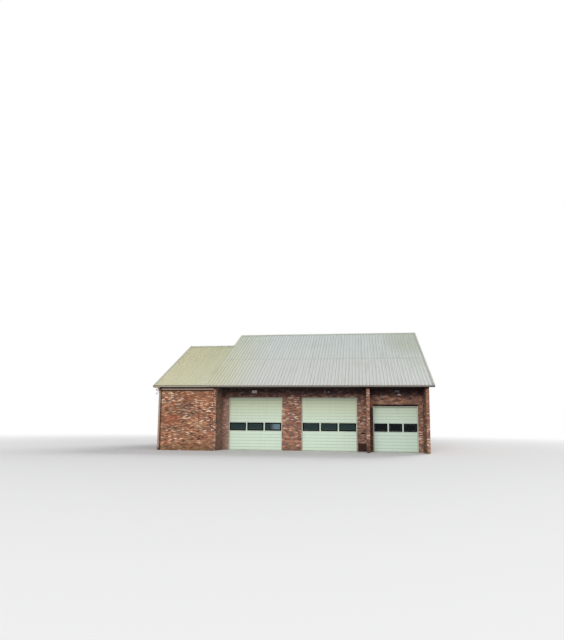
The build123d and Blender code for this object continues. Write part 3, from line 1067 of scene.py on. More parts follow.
@dataclass(frozen=True)
class Plan:
    """Planes of the building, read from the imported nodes."""

    wing_outside: float
    wing_back: float
    main_outside: float
    main_inside: float
    right_inside: float
    right_outside: float
    front: float
    back: float
    door_face: float
    trim_face: float
    fin_left: float
    fin_right: float
    soffit: float
    frieze_foot: float
    main_roof: Roofline
    wing_roof: Roofline
    slopes: tuple[Slope, ...]
    doors: tuple[DoorPlace, ...]
    roof_depth: float = 0.112

    @classmethod
    def read(cls) -> Plan:
        """Reads the boxes of the nodes that bound each plane.

        Returns:
            The plan.
        """
        left_low, left_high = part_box("main_left_wall")
        right_low, right_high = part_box("main_right_wall")
        gable_low, gable_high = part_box("wing_left_wall")
        fin_low, fin_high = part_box("middle_fin_wall")
        wing_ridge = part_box("wing_roof_back")[0].y
        leaves = {name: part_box(f"{name}_leaf") for name in ("door_1", "door_2", "door_3")}
        sides = [(roof, side) for roof in ("main", "wing") for side in ("front", "back")]
        return cls(
            wing_outside=gable_low.x,
            wing_back=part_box("wing_back_wall")[1].y,
            main_outside=left_low.x,
            main_inside=left_high.x,
            right_inside=right_low.x,
            right_outside=right_high.x,
            front=left_low.y,
            back=left_high.y,
            door_face=fin_high.y,
            trim_face=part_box("door_trims")[0].y,
            fin_left=fin_low.x,
            fin_right=fin_high.x,
            soffit=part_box("main_back_soffit")[0].z,
            frieze_foot=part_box("wing_frieze_board")[0].z,
            main_roof=Roofline(0.0, left_high.z),
            wing_roof=Roofline(wing_ridge, gable_high.z),
            slopes=tuple(Slope.read(f"{roof}_roof_{side}") for roof, side in sides),
            doors=tuple(DoorPlace(name, low.x, high.x, high.z) for name, (low, high) in leaves.items()),
        )


@dataclass(frozen=True)
class Marks:
    """Where the building is sooty, damp or stained, and where shade, shadow and light are painted on it.

    A mark reaches a little before and behind the face that it is on, and some run past its ends.
    """

    plan: Plan
    under: float = -1.0
    over: float = 5.0
    before: float = 0.06
    behind: float = 0.02
    behind_doors: float = 0.16
    past_corner: float = 0.03
    past_end: float = 0.1
    film_and_shade_from: float = 0.35
    film_and_shade_behind: float = 0.15
    beside_downspout: float = 0.2
    downspout_edge: float = 0.018
    pane_width: float = 0.67

    @property
    def tall(self) -> Span:
        """From below the ground to above the walls."""
        return self.under, self.over

    @property
    def front(self) -> Span:
        """The depth of the front faces of the wing and of the fins."""
        return self.plan.front - self.before, self.plan.front + self.behind

    @property
    def doors(self) -> Span:
        """The depth of the wall at the back of the porch, and of what is fixed there."""
        return self.plan.door_face - self.before, self.plan.door_face + self.behind_doors

    def past(self, left: float, right: float) -> Span:
        """A stretch that runs past both of its ends."""
        return left - self.past_end, right + self.past_end

    def wing(self, start: float, end: float) -> Span:
        """A stretch of the wing's front wall, in shares of its length."""
        length = self.plan.main_outside - self.plan.wing_outside
        return self.plan.wing_outside + length * start, self.plan.wing_outside + length * end

    def on_walls(self) -> tuple[Patch, ...]:
        """Marks on brick and mortar, each laid over the ones before it.

        Returns:
            The patches.
        """
        plan, wing, tall, front, doors = self.plan, self.wing, self.tall, self.front, self.doors
        first, second, narrow = plan.doors
        cloud, sharp, wide = (0.3, 0.02, 0.2), (0.02, 0.02, 0.03), (0.06, 0.03, 0.12)
        ragged, even, beside = (0.03, 0.02, 0.07), (0.02, 0.02, 0.02), (0.03, 0.02, 0.03)
        porch = self.past(plan.main_inside, plan.right_inside)
        film = (plan.front + self.film_and_shade_from, plan.door_face + self.film_and_shade_behind)
        fins = (plan.main_outside, plan.right_outside + self.past_end)
        corner = (plan.wing_outside, plan.wing_outside + self.beside_downspout)
        inside = (plan.front + self.past_corner, plan.door_face)
        lit_return_depth = (inside[0], inside[1] + self.behind)
        left_return = (plan.main_inside - self.before, plan.main_inside + self.behind)
        fin = (plan.fin_left, plan.fin_right)
        fin_side = (plan.fin_left - self.behind, plan.fin_left + self.behind)
        bay, beside_fin = (plan.fin_right, plan.right_inside), (plan.fin_right, narrow.left + self.behind)
        left_pier, pier = (plan.main_inside, first.left), (second.right, plan.fin_left)
        damp, salts = (pier[0] + 0.06, pier[1]), (pier[0] + 0.12, pier[1] - 0.12)
        eave, foot = (4.07, self.over), (self.under, 0.95)
        low, wet = (self.under, 2.95), (self.under, 0.57)
        return (
            # exhaust film with a painted bluish shade over the porch walls
            Patch("exhaust film", porch, film, tall, colour(106, 98, 120), 0.13, (0.1, 0.1, 0.1)),
            Patch("burnt bricks", wing(0.34, 0.6), front, (2.3, 3.25), colour(84, 72, 70), 0.4, cloud),
            Patch("red bricks", wing(0.08, 0.42), front, (1.78, 2.3), colour(186, 96, 60), 0.3, cloud),
            Patch("tan bricks", wing(0.42, 0.98), front, (3.2, 3.8), colour(158, 98, 64), 0.34, cloud),
            Patch("pale bricks", wing(0.63, 0.8), front, (1.5, 1.95), colour(204, 172, 132), 0.3, cloud),
            Patch("pink bricks", wing(0.86, 0.99), front, (0.7, 1.3), colour(190, 116, 96), 0.25, cloud),
            Patch("lime on the fins", fins, front, tall, colour(128, 114, 128), 0.1, sharp),
            Patch("shade under the eave", fins, front, eave, colour(30, 25, 26), 0.75, sharp),
            Patch("splashed fin", fin, front, foot, colour(58, 38, 34), 0.74, (0.03, 0.03, 0.15)),
            # painted shadow of the downspout on the bricks to its right
            Patch("beside the downspout", corner, front, tall, colour(44, 30, 22), 0.66, beside),
            # painted light that brightens the porch's left return wall
            Patch("limed return", left_return, lit_return_depth, tall, colour(196, 166, 158), 0.21, even),
            # painted shade darkening the header over the narrow door towards the soffit
            Patch("over the narrow door", bay, doors, (3.78, self.over), colour(28, 24, 36), 0.4, wide),
            # painted shadow of the middle fin on the pier beside the narrow door
            Patch("beside the fin", beside_fin, doors, low, colour(42, 30, 26), 0.76, wide),
            Patch("middle pier", pier, doors, tall, colour(82, 64, 60), 0.28, sharp),
            # painted light that brightens the left pier, where the key lamp casts the left wall's shadow
            Patch("left pier", left_pier, doors, (self.under, 3.5), colour(198, 168, 156), 0.34, wide),
            Patch("damp", damp, doors, wet, colour(38, 25, 25), 0.86, ragged),
            Patch("damp side", fin_side, inside, (self.under, 0.5), colour(34, 18, 17), 0.8, ragged),
            Patch("salts", salts, doors, (0.57, 0.64), colour(196, 176, 168), 0.4, (0.1, 0.02, 0.03)),
        )

    def on_doors(self) -> tuple[Patch, ...]:
        """Marks on the enamel: the narrow door is greyer, and all are shaded at the head.

        Returns:
            The patches.
        """
        first, second, narrow = self.plan.doors
        pair, third = self.past(first.left, second.right), self.past(narrow.left, narrow.right)
        head, low_head = (first.head - 0.2, self.over), (narrow.head - 0.14, self.over)
        doors, soft = self.doors, (0.05, 0.02, 0.1)
        return (
            Patch("greyer enamel", third, doors, self.tall, colour(120, 160, 170), 0.12, soft),
            Patch("shade at the head", third, doors, low_head, colour(58, 64, 62), 0.62, soft),
            Patch("shade at the wide heads", pair, doors, head, colour(104, 112, 136), 0.24, soft),
        )

    def on_downspout(self) -> tuple[Patch, ...]:
        """The downspout's shaded right edge.

        Returns:
            The patch, alone.
        """
        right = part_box("front_downspout")[1].x
        edge, soft = (right - self.downspout_edge, right + self.past_end), (0.01, 0.4, 0.03)
        return (Patch("shaded edge", edge, self.front, self.tall, colour(62, 44, 34), 0.5, soft),)

    def on_trims(self) -> tuple[Patch, ...]:
        """The narrow door's left jamb, darker towards the foot."""
        jamb, soft = self.past(self.plan.doors[2].left, self.plan.doors[2].left), (0.02, 0.02, 0.4)
        return (Patch("rubbed jamb", jamb, self.doors, (self.under, 2.0), colour(72, 68, 60), 0.35, soft),)

    def on_glass(self) -> tuple[Patch, ...]:
        """One pane of the first door made lighter and bluer, and the narrow door's glass darkened as
        painted shade of the unlit bay behind it.

        Returns:
            The patches.
        """
        first, _, narrow = self.plan.doors
        pane, up, doors = (first.right - self.pane_width, first.right), (1.0, 2.2), self.doors
        dark = (0.02, 0.02, 0.05)
        return (
            Patch("fogged pane", pane, doors, up, colour(120, 143, 152), 0.85, (0.2, 0.02, 0.05)),
            # painted shade: the narrow door's glass darkened for the unlit room behind it
            Patch("dark bay", (narrow.left, narrow.right), doors, up, colour(5, 7, 14), 0.95, dark),
        )


# Bricks


@dataclass(frozen=True)
class Brick:
    """A modular brick's face, its joint, and how it stands out of the mortar."""

    length: float = 0.194
    height: float = 0.057
    joint: float = 0.010
    proud: float = 0.004
    arris: float = 0.0016
    jitter: float = 0.0012
    jitter_out: float = 0.8
    least: float = 0.02

    @property
    def course(self) -> float:
        """Height from one course to the next."""
        return self.height + self.joint


@dataclass(frozen=True)
class Hole:
    """A part of a wall face that holds no brick."""

    start: float
    end: float
    top: float


@dataclass(frozen=True)
class Edge:
    """A wall face's top or foot: a level, or a height over a roof's underside."""

    height: float = 0.0
    roof: Roofline | None = None
    start: float = 0.0
    towards: int = -1

    def at(self, u: float) -> float:
        """Its level at a distance u along the face, which runs along Y from its start."""
        under = self.roof.under(self.start + self.towards * u) if self.roof else 0.0
        return self.height + under


@dataclass(frozen=True)
class BrickFace:
    """One flat face of a wall, seen from outside, with u to the right of its foot."""

    foot: Vector
    outward: Vector
    length: float
    top: Edge
    base: Edge = Edge()
    holes: tuple[Hole, ...] = ()
    fit_bond: bool = True
    shift: bool = False
    start_corner: bool = True
    end_corner: bool = True

    def spans(self, low: float, high: float) -> list[tuple[float, float, float]]:
        """Finds the stretches of one course that hold brick.

        Args:
            low: the course's foot.
            high: its top.

        Returns:
            The start, the end and the foot of each stretch.
        """
        edges = [(0.0, self.length, low)]
        for hole in self.holes:
            kept = []
            for start, end, foot in edges:
                if hole.top <= foot or hole.start >= end or hole.end <= start:
                    kept.append((start, end, foot))
                    continue
                if hole.start > start:
                    kept.append((start, hole.start, foot))
                if hole.top < high:
                    kept.append((max(start, hole.start), min(end, hole.end), hole.top))
                if hole.end < end:
                    kept.append((hole.end, end, foot))
            edges = kept
        return edges


@dataclass
class Bricklayer:
    """Lays faces of running bond into pieces of separate bricks."""

    brick: Brick
    material: Material
    seed: int = 7
    chance: random.Random = field(init=False)

    def __post_init__(self) -> None:
        """Starts the one row of random draws that every face takes from."""
        self.chance = random.Random(self.seed)

    def lay(self, name: str, faces: Sequence[BrickFace]) -> bpy.types.Object:
        """Lays several faces as one piece.

        Args:
            name: the piece's name.
            faces: the wall faces.

        Returns:
            The piece.
        """
        shape = Shape(name)
        for face in faces:
            self.lay_face(shape, face)
        return shape.piece(Slot.BRICK, self.material)

    def lay_face(self, shape: Shape, face: BrickFace) -> None:
        """Lays one face, course by course.

        Args:
            shape: the piece that takes the bricks.
            face: the wall face.
        """
        module = self.brick.length + self.brick.joint
        if face.fit_bond:
            module = 2 * face.length / max(2, round(2 * face.length / module))
        highest = max(face.top.at(u) for u in (0, face.length, face.length / 2))
        for course in range(int(highest / self.brick.course) + 1):
            low = course * self.brick.course
            high = low + self.brick.course
            half = 0.5 if (course % 2 == 1) != face.shift else 0.0
            for start, end, foot in face.spans(low, high):
                self.lay_span(shape, face, (start, end), (foot, high), (module, half))

    def lay_span(
        self, shape: Shape, face: BrickFace, span: Span, heights: Span, bond: tuple[float, float]
    ) -> None:
        """Lays the bricks of one stretch of a course, cut at its ends.

        Args:
            shape: the piece that takes the bricks.
            face: the wall face.
            span: where the stretch starts and ends along the face.
            heights: its foot and its top, from the middle of one joint to the next.
            bond: the distance from brick to brick, and the share of it that the course is shifted.
        """
        (left, right), (module, shifted), gap = span, bond, self.brick.joint / 2
        open_end = face.end_corner and right == face.length
        for number in range(math.floor(left / module) - 1, math.ceil(right / module) + 1):
            place = (number + shifted) * module
            start = self.end(place + gap, left, face.start_corner and left == 0, -1)
            end = self.end(place + module - gap, right, open_end, 1)
            if end - start > self.brick.least:
                self.set_brick(shape, face, (start, end), (heights[0] + gap, heights[1] - gap))

    def end(self, place: float, limit: float, corner: bool, side: int) -> float:
        """Where a brick ends: at its own joint, or at its stretch's end, proud at a wall's corner."""
        last = limit + side * (self.brick.proud if corner else 0.0)
        return place if (place - limit) * side < 0 else last

    def set_brick(self, shape: Shape, face: BrickFace, across: Span, heights: Span) -> None:
        """Adds one brick, cut to the wall's sloping top and foot.

        Args:
            shape: the piece that takes the brick.
            face: the wall face.
            across: its two ends along the face.
            heights: its foot and its top.
        """
        (start, end), (low, high) = across, heights
        corners = [
            (u, min(max(level, face.base.at(u)), face.top.at(u)))
            for u, level in ((start, low), (end, low), (end, high), (start, high))
        ]
        tall = max(corners[3][1] - corners[0][1], corners[2][1] - corners[1][1])
        if tall < self.brick.least:
            return
        along = UP.cross(face.outward)
        right, up, out = [self.chance.uniform(-1, 1) * self.brick.jitter for _ in range(3)]
        proud = face.outward * (self.brick.proud + out * self.brick.jitter_out)
        middle, level_middle = (start + end) / 2, (low + high) / 2
        side, edge = self.brick.arris, min(self.brick.arris, tall / 4)
        wall, front = [], []
        for u, level in corners:
            flat = face.foot + along * (u + right) + UP * (level + up)
            near = flat + along * math.copysign(side, middle - u)
            wall.append(flat)
            front.append(near + UP * math.copysign(edge, level_middle - level) + proud)
        faces = [(4, 5, 6, 7), (0, 1, 5, 4), (1, 2, 6, 5), (2, 3, 7, 6), (3, 0, 4, 7)]
        shape.add(wall + front, faces)


@dataclass
class Brickwork:
    """All laid brick of the building, face by face."""

    plan: Plan
    layer: Bricklayer

    def build(self) -> None:
        """Lays the wing's front, the three gables, the back and the porch."""
        plan = self.plan
        pieces = {
            "bricks_wing_front": self.wing_front(),
            "bricks_wing_gable": [self.gable(plan.wing_outside, LEFT, plan.wing_back, plan.wing_roof)],
            "bricks_main_gable": [self.gable(plan.right_outside, RIGHT, plan.back, plan.main_roof)],
            "bricks_step_gable": self.step_gable(),
            "bricks_back": self.back(),
            "bricks_porch": self.porch(),
        }
        for name, faces in pieces.items():
            self.layer.lay(name, faces)

    @staticmethod
    def face(foot: Spot, outward: Vector, end: Spot, height: float, **options: bool) -> BrickFace:
        """A level face between two ground points, its left foot and its right as seen from outside."""
        return BrickFace(Vector((*foot, 0)), outward, math.dist(foot, end), Edge(height), **options)

    def front_face(self, left: float, right: float, shift: bool = True) -> BrickFace:
        """A face of the front, up to the soffit."""
        y, height = self.plan.front, self.plan.soffit
        return self.face((left, y), FORWARD, (right, y), height, shift=shift)

    def rightward(self, x: float, near: float, far: float, height: float) -> BrickFace:
        """A return that faces right, with a corner at its near end only."""
        return self.face((x, near), RIGHT, (x, far), height, end_corner=False)

    def leftward(self, x: float, near: float, far: float, height: float) -> BrickFace:
        """A return that faces left, with a corner at its near end only."""
        return self.face((x, far), LEFT, (x, near), height, start_corner=False)

    def wing_front(self) -> list[BrickFace]:
        """The wing's front, up to the dark strip of painted shadow under its frieze board, and the fin
        beside it.

        Returns:
            Both faces.
        """
        plan, top = self.plan, self.plan.frieze_foot - WallStrips.shadow_strip_height
        wing = self.face((plan.wing_outside, plan.front), FORWARD, (plan.main_outside, plan.front), top)
        return [wing, self.front_face(plan.main_outside, plan.main_inside)]

    def gable(self, x: float, outward: Vector, far: float, roof: Roofline) -> BrickFace:
        """A whole gable wall, cut to the roof's underside.

        Args:
            x: where it stands.
            outward: the way it faces.
            far: its far end along Y.
            roof: the roof over it.

        Returns:
            The face.
        """
        near = self.plan.front
        start, towards = (far, -1) if outward.x < 0 else (near, 1)
        top = Edge(0.0, roof, start, towards)
        return BrickFace(Vector((x, start, 0)), outward, far - near, top)

    def step_gable(self) -> list[BrickFace]:
        """The main block's left wall, behind the wing and above the wing's roof.

        Returns:
            Both faces.
        """
        plan = self.plan
        x, back, start = plan.main_outside, plan.back, plan.wing_back
        top = Edge(0.0, plan.main_roof, back)
        behind = BrickFace(Vector((x, back, 0)), LEFT, back - start, top, end_corner=False)
        above = BrickFace(
            Vector((x, start, 0)),
            LEFT,
            start - plan.wing_roof.ridge_y,
            Edge(0.0, plan.main_roof, start),
            base=Edge(plan.roof_depth, plan.wing_roof, start),
            start_corner=False,
            end_corner=False,
        )
        return [behind, above]

    def back(self) -> list[BrickFace]:
        """The back walls of the main block and of the wing.

        Returns:
            Both faces.
        """
        plan, middle = self.plan, self.plan.main_outside
        main_foot, main_end = (plan.right_outside, plan.back), (middle, plan.back)
        wing_foot, wing_end = (middle, plan.wing_back), (plan.wing_outside, plan.wing_back)
        main = self.face(main_foot, BACKWARD, main_end, plan.soffit, shift=True)
        return [main, self.face(wing_foot, BACKWARD, wing_end, plan.soffit)]

    def porch(self) -> list[BrickFace]:
        """The porch's returns and fins, the door wall and the reveals at the sides of each door.

        Returns:
            The faces.
        """
        plan = self.plan
        near, far, height = plan.front, plan.door_face, plan.soffit
        faces = [
            self.rightward(plan.main_inside, near, far, height),
            self.leftward(plan.right_inside, near, far, height),
            self.leftward(plan.fin_left, near, far, height),
            self.rightward(plan.fin_right, near, far, height),
            self.front_face(plan.fin_left, plan.fin_right),
            self.front_face(plan.right_inside, plan.right_outside),
            self.door_wall(),
        ]
        for door in plan.doors:
            faces.append(self.rightward(door.left, far, plan.trim_face, door.head))
            faces.append(self.leftward(door.right, far, plan.trim_face, door.head))
        return faces

    def door_wall(self) -> BrickFace:
        """The wall round the overhead doors.

        Returns:
            The face.
        """
        plan, start = self.plan, self.plan.main_inside
        holes = [Hole(door.left - start, door.right - start, door.head) for door in plan.doors]
        holes.append(Hole(plan.fin_left - start, plan.fin_right - start, plan.soffit))
        return BrickFace(
            Vector((start, plan.door_face, 0)),
            FORWARD,
            plan.right_inside - start,
            Edge(plan.soffit),
            holes=tuple(holes),
            fit_bond=False,
            start_corner=False,
            end_corner=False,
        )


@dataclass
class WallStrips:
    """A near-black strip that paints the shadow under the wing's frieze board, and the sealant beside the
    wing's front.
    """

    plan: Plan
    wood: Material
    sealant: Material
    shadow_strip_depth: float = 0.012
    shadow_strip_height: ClassVar[float] = 0.074
    joint_width: float = 0.02
    joint_proud: float = 0.0045

    def build(self) -> None:
        """Sets the painted-shadow strip below the board, then fills the joint from the ground to the
        soffit.
        """
        front = self.plan.front
        low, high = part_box("wing_frieze_board")
        strip, joint = Shape("wing_frieze_strip"), Shape("wall_joint_sealant")
        near = (low.x, front - self.shadow_strip_depth, low.z - self.shadow_strip_height)
        strip.box(near, (high.x, front, low.z))
        strip.piece(Slot.SOFFIT, self.wood)
        left = self.plan.main_outside - self.joint_width / 2
        start = (left, front - self.joint_proud, 0.0)
        joint.box(start, (left + self.joint_width, front, self.plan.soffit))
        joint.piece(Slot.SOFFIT, self.sealant)


# Roof details


@dataclass
class RoofScrews:
    """Screws with washers, in the sheets' pans beside the ribs, and on caps and rake trims."""

    material: Material
    rise: float
    eave_level: float = 4.3
    beside_rib: float = 0.045
    row: float = 0.78
    first_row: float = 0.12
    last_row: float = 0.3
    cap_ribs: int = 2
    cap_inset: float = 0.03
    trim_step: float = 0.61
    trim_first: float = 0.15
    trim_inset: float = 0.05
    trim_drop: float = 0.075
    ridge_clear: float = 0.25
    washer: float = 0.0105
    washer_depth: float = 0.0015
    head: float = 0.0065
    head_foot: float = 0.0025
    head_top: float = 0.0065

    def fix_sheets(self, slope: Slope) -> None:
        """Screws down one slope's sheets, row by row along its purlins.

        Args:
            slope: the roof slope.
        """
        shape = Shape(f"screws_{slope.node}")
        normal = self.normal(slope.inward)
        reach = abs(slope.ridge_y - slope.eave_y) - self.last_row
        for row in range(int((reach - self.first_row) / self.row) + 1):
            run = self.first_row + row * self.row
            y, z = slope.eave_y + slope.inward * run, self.eave_level + self.rise * run
            for rib in range(slope.ribs):
                x = slope.first_rib + rib * slope.pitch + self.beside_rib
                self.screw(shape, Vector((x, y, z)), normal)
        shape.piece(Slot.ROOF, self.material)

    def fix_cap(self, node: str, slope: Slope) -> None:
        """Screws down a ridge cap at some of the ribs, along both of its edges.

        Args:
            node: the cap.
            slope: the slope below it.
        """
        low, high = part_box(node)
        shape = Shape(f"screws_{node}")
        middle, half = (low.y + high.y) / 2, (high.y - low.y) / 2 - self.cap_inset
        for side in (-1, 1):
            for rib in range(0, slope.ribs, self.cap_ribs):
                x = slope.first_rib + rib * slope.pitch
                place = Vector((x, middle + side * half, high.z - self.rise * half))
                self.screw(shape, place, self.normal(-side))
        shape.piece(Slot.TRIM, self.material)

    def fix_rake(self, node: str, outward: int, ridge_y: float) -> None:
        """Screws on a rake trim's top flange and outer face.

        Args:
            node: the trim.
            outward: 1 where it faces right and -1 where it faces left.
            ridge_y: where its slopes meet.
        """
        low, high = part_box(node)
        shape = Shape(f"screws_{node}")
        face = high.x if outward > 0 else low.x
        for number in range(int((high.y - low.y) / self.trim_step)):
            y = low.y + self.trim_first + number * self.trim_step
            if abs(y - ridge_y) < self.ridge_clear:
                continue
            top = high.z - self.rise * abs(y - ridge_y)
            upward = self.normal(1 if y < ridge_y else -1)
            self.screw(shape, Vector((face - outward * self.trim_inset, y, top)), upward)
            between = y + self.trim_step / 2
            level = high.z - self.rise * abs(between - ridge_y) - self.trim_drop
            self.screw(shape, Vector((face, between, level)), Vector((outward, 0, 0)))
        shape.piece(Slot.TRIM, self.material)

    def normal(self, inward: int) -> Vector:
        """The slope's outward direction."""
        return Vector((0, -inward * self.rise, 1)).normalized()

    def screw(self, shape: Shape, place: Vector, normal: Vector) -> None:
        """Adds a washer and a hexagonal head."""
        washer = [(self.washer, 0.0), (self.washer, self.washer_depth)]
        shape.turned(place, normal, [*washer, (self.head, self.head_foot), (self.head, self.head_top)], 6)


# Doors


@dataclass
class DoorGlazing:
    """Rubber gaskets and the spacer bars of the double glazing, in each door window."""

    gasket: Material
    spacer: Material
    windows: int = 3
    gap: float = 0.09
    border: float = 0.052
    gasket_width: float = 0.03
    gasket_depth: float = 0.007
    spacer_width: float = 0.013
    spacer_depth: float = 0.002

    def build(self, door: DoorPlace) -> None:
        """Adds both rings to each window of a door.

        Args:
            door: the door's opening.
        """
        low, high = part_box(f"{door.name}_window_frames")
        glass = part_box(f"{door.name}_glass")[0].y
        gaskets, spacers = Shape(f"{door.name}_gaskets"), Shape(f"{door.name}_spacer_bars")
        width = (high.x - low.x - (self.windows - 1) * self.gap) / self.windows
        for number in range(self.windows):
            left = low.x + number * (width + self.gap)
            pane = self.inset((left, left + width, low.z, high.z), self.border)
            self.ring(gaskets, pane, self.gasket_width, (glass - self.gasket_depth, glass))
            inner = self.inset(pane, self.gasket_width)
            self.ring(spacers, inner, self.spacer_width, (glass - self.spacer_depth, glass))
        gaskets.piece(Slot.FRAME, self.gasket)
        spacers.piece(Slot.LIGHT_GREY, self.spacer)

    @staticmethod
    def inset(pane: Pane, by: float) -> Pane:
        """A pane's left, right, foot and head, moved in."""
        left, right, foot, head = pane
        return left + by, right - by, foot + by, head - by

    def ring(self, shape: Shape, pane: Pane, width: float, depths: Span) -> None:
        """Adds a mitred ring that runs round a pane.

        Args:
            shape: the piece that takes the ring.
            pane: its left, right, foot and head.
            width: how far it covers the pane.
            depths: its near and far side.
        """
        corners = []
        for left, right, foot, head in (pane, self.inset(pane, width)):
            around = ((left, foot), (right, foot), (right, head), (left, head))
            corners += [Vector((x, y, z)) for y in depths for x, z in around]
        faces = []
        for side in range(4):
            after = (side + 1) % 4
            faces.append((side, after, 8 + after, 8 + side))
            faces.append((8 + side, 8 + after, 12 + after, 12 + side))
            faces.append((after, side, 4 + side, 4 + after))
        shape.add(corners, faces)


@dataclass
class DoorFittings:
    """Steel lintels, a plate over the narrow door, and rubber fins between stops and leaves."""

    plan: Plan
    steel: Material
    dark_steel: Material
    rubber: Material
    lintel_depth: float = 0.008
    lintel_setback: float = 0.006
    plate_height: float = 0.1
    plate_depth: float = 0.009
    fin_width: float = 0.012
    fin_depth: float = 0.003
    stop_width: float = 0.05

    def build(self) -> None:
        """Fits a lintel and fins to each door, and the plate to the narrow one."""
        plan, plate = self.plan, Shape("narrow_door_head_plate")
        lintels, fins = Shape("door_lintels"), Shape("door_rubber_fins")
        for door in plan.doors:
            near, foot = plan.door_face + self.lintel_setback, door.head - self.lintel_depth
            lintels.box((door.left, near, foot), (door.right, plan.trim_face, door.head))
            self.seal(fins, door)
        narrow = plan.doors[2]
        start = (narrow.left, plan.door_face - self.plate_depth, narrow.head)
        plate.box(start, (narrow.right, plan.door_face, narrow.head + self.plate_height))
        plate.piece(Slot.TRIM, self.dark_steel)
        lintels.piece(Slot.TRIM, self.steel)
        fins.piece(Slot.FRAME, self.rubber)

    def seal(self, fins: Shape, door: DoorPlace) -> None:
        """Adds the fins at a leaf's sides and head.

        Args:
            fins: the piece that takes them.
            door: the door's opening.
        """
        low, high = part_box(f"{door.name}_leaf")
        left, right = low.x + self.stop_width, high.x - self.stop_width
        top, front, width = high.z - self.stop_width, low.y - self.fin_depth, self.fin_width
        fins.box((left, front, low.z), (left + width, low.y, top))
        fins.box((right - width, front, low.z), (right, low.y, top))
        fins.box((left + width, front, top - width), (right - width, low.y, top))


@dataclass
class LetterFlap:
    """The letter slot's steel surround, its sprung flap, and the flap's pin and screws."""

    material: Material
    border: float = 0.02
    depth: float = 0.004
    surround: float = 0.014
    surround_depth: float = 0.0058
    pin_radius: float = 0.004
    pin_end: float = 0.004
    pin_sides: int = 10
    screw_inset: float = 0.009
    screw_outline: tuple[Span, ...] = ((0.004, 0.0), (0.004, 0.001), (0.0025, 0.002))
    screw_sides: int = 8

    def build(self) -> None:
        """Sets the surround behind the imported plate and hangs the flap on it."""
        low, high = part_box("letter_slot")
        shape = Shape("letter_flap")
        left, right, face = low.x + self.border, high.x - self.border, low.y
        foot, top = low.z + self.border, high.z - self.border
        shape.box((left, face - self.depth, foot), (right, face, top))
        edge, wall = self.surround, high.y
        start = (low.x - edge, wall - self.surround_depth, low.z - edge)
        shape.box(start, (high.x + edge, wall, high.z + edge))
        pin = Vector((left - self.pin_end, face - self.depth, top + self.pin_radius))
        rings = [(self.pin_radius, 0.0), (self.pin_radius, right - left + 2 * self.pin_end)]
        shape.turned(pin, RIGHT, rings, self.pin_sides)
        for x in (low.x + self.screw_inset, high.x - self.screw_inset):
            middle = Vector((x, face, (low.z + high.z) / 2))
            shape.turned(middle, FORWARD, self.screw_outline, self.screw_sides)
        shape.piece(Slot.LETTER_SLOT, self.material)


# Gutters


@dataclass
class GutterFittings:
    """Hangers across a trough."""

    material: Material
    step: float = 0.76
    width: float = 0.022
    gauge: float = 0.003
    from_end: float = 0.06
    lip: float = 0.002

    def build(self, name: str) -> None:
        """Fits out a gutter.

        Args:
            name: the gutter's node.
        """
        low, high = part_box(name)
        shape = Shape(f"{name}_hangers")
        length = high.x - low.x - 2 * self.from_end
        count = int(length / self.step)
        for number in range(count + 1):
            x = low.x + self.from_end + number * length / count
            top = high.z - self.lip
            start = (x - self.width / 2, low.y + self.lip, top - self.gauge)
            shape.box(start, (x + self.width / 2, high.y - self.lip, top))
        shape.piece(Slot.GUTTER, self.material)


# Lamps


@dataclass(frozen=True)
class TwinFloodlight:
    """Where a twin floodlight's canopy sits, and how its lamps lean apart and tip up."""

    name: str
    seat: Vector
    across: Vector
    outward: Vector
    lean: float
    tip: float
    ahead: float = 0.8
    arm_inset: float = 0.042
    canopy_depth: float = 0.04
    reach: float = 0.204

    def mouths(self) -> Iterator[tuple[Vector, Vector]]:
        """Finds each lamp's mouth.

        Returns:
            The middle and the direction of each.
        """
        third = self.outward.cross(self.across)
        for side in (-1, 1):
            apart = self.across * side
            way = (apart * self.lean + third * self.tip + self.outward * self.ahead).normalized()
            foot = self.seat + apart * self.arm_inset + self.outward * self.canopy_depth
            yield foot + way * self.reach, way


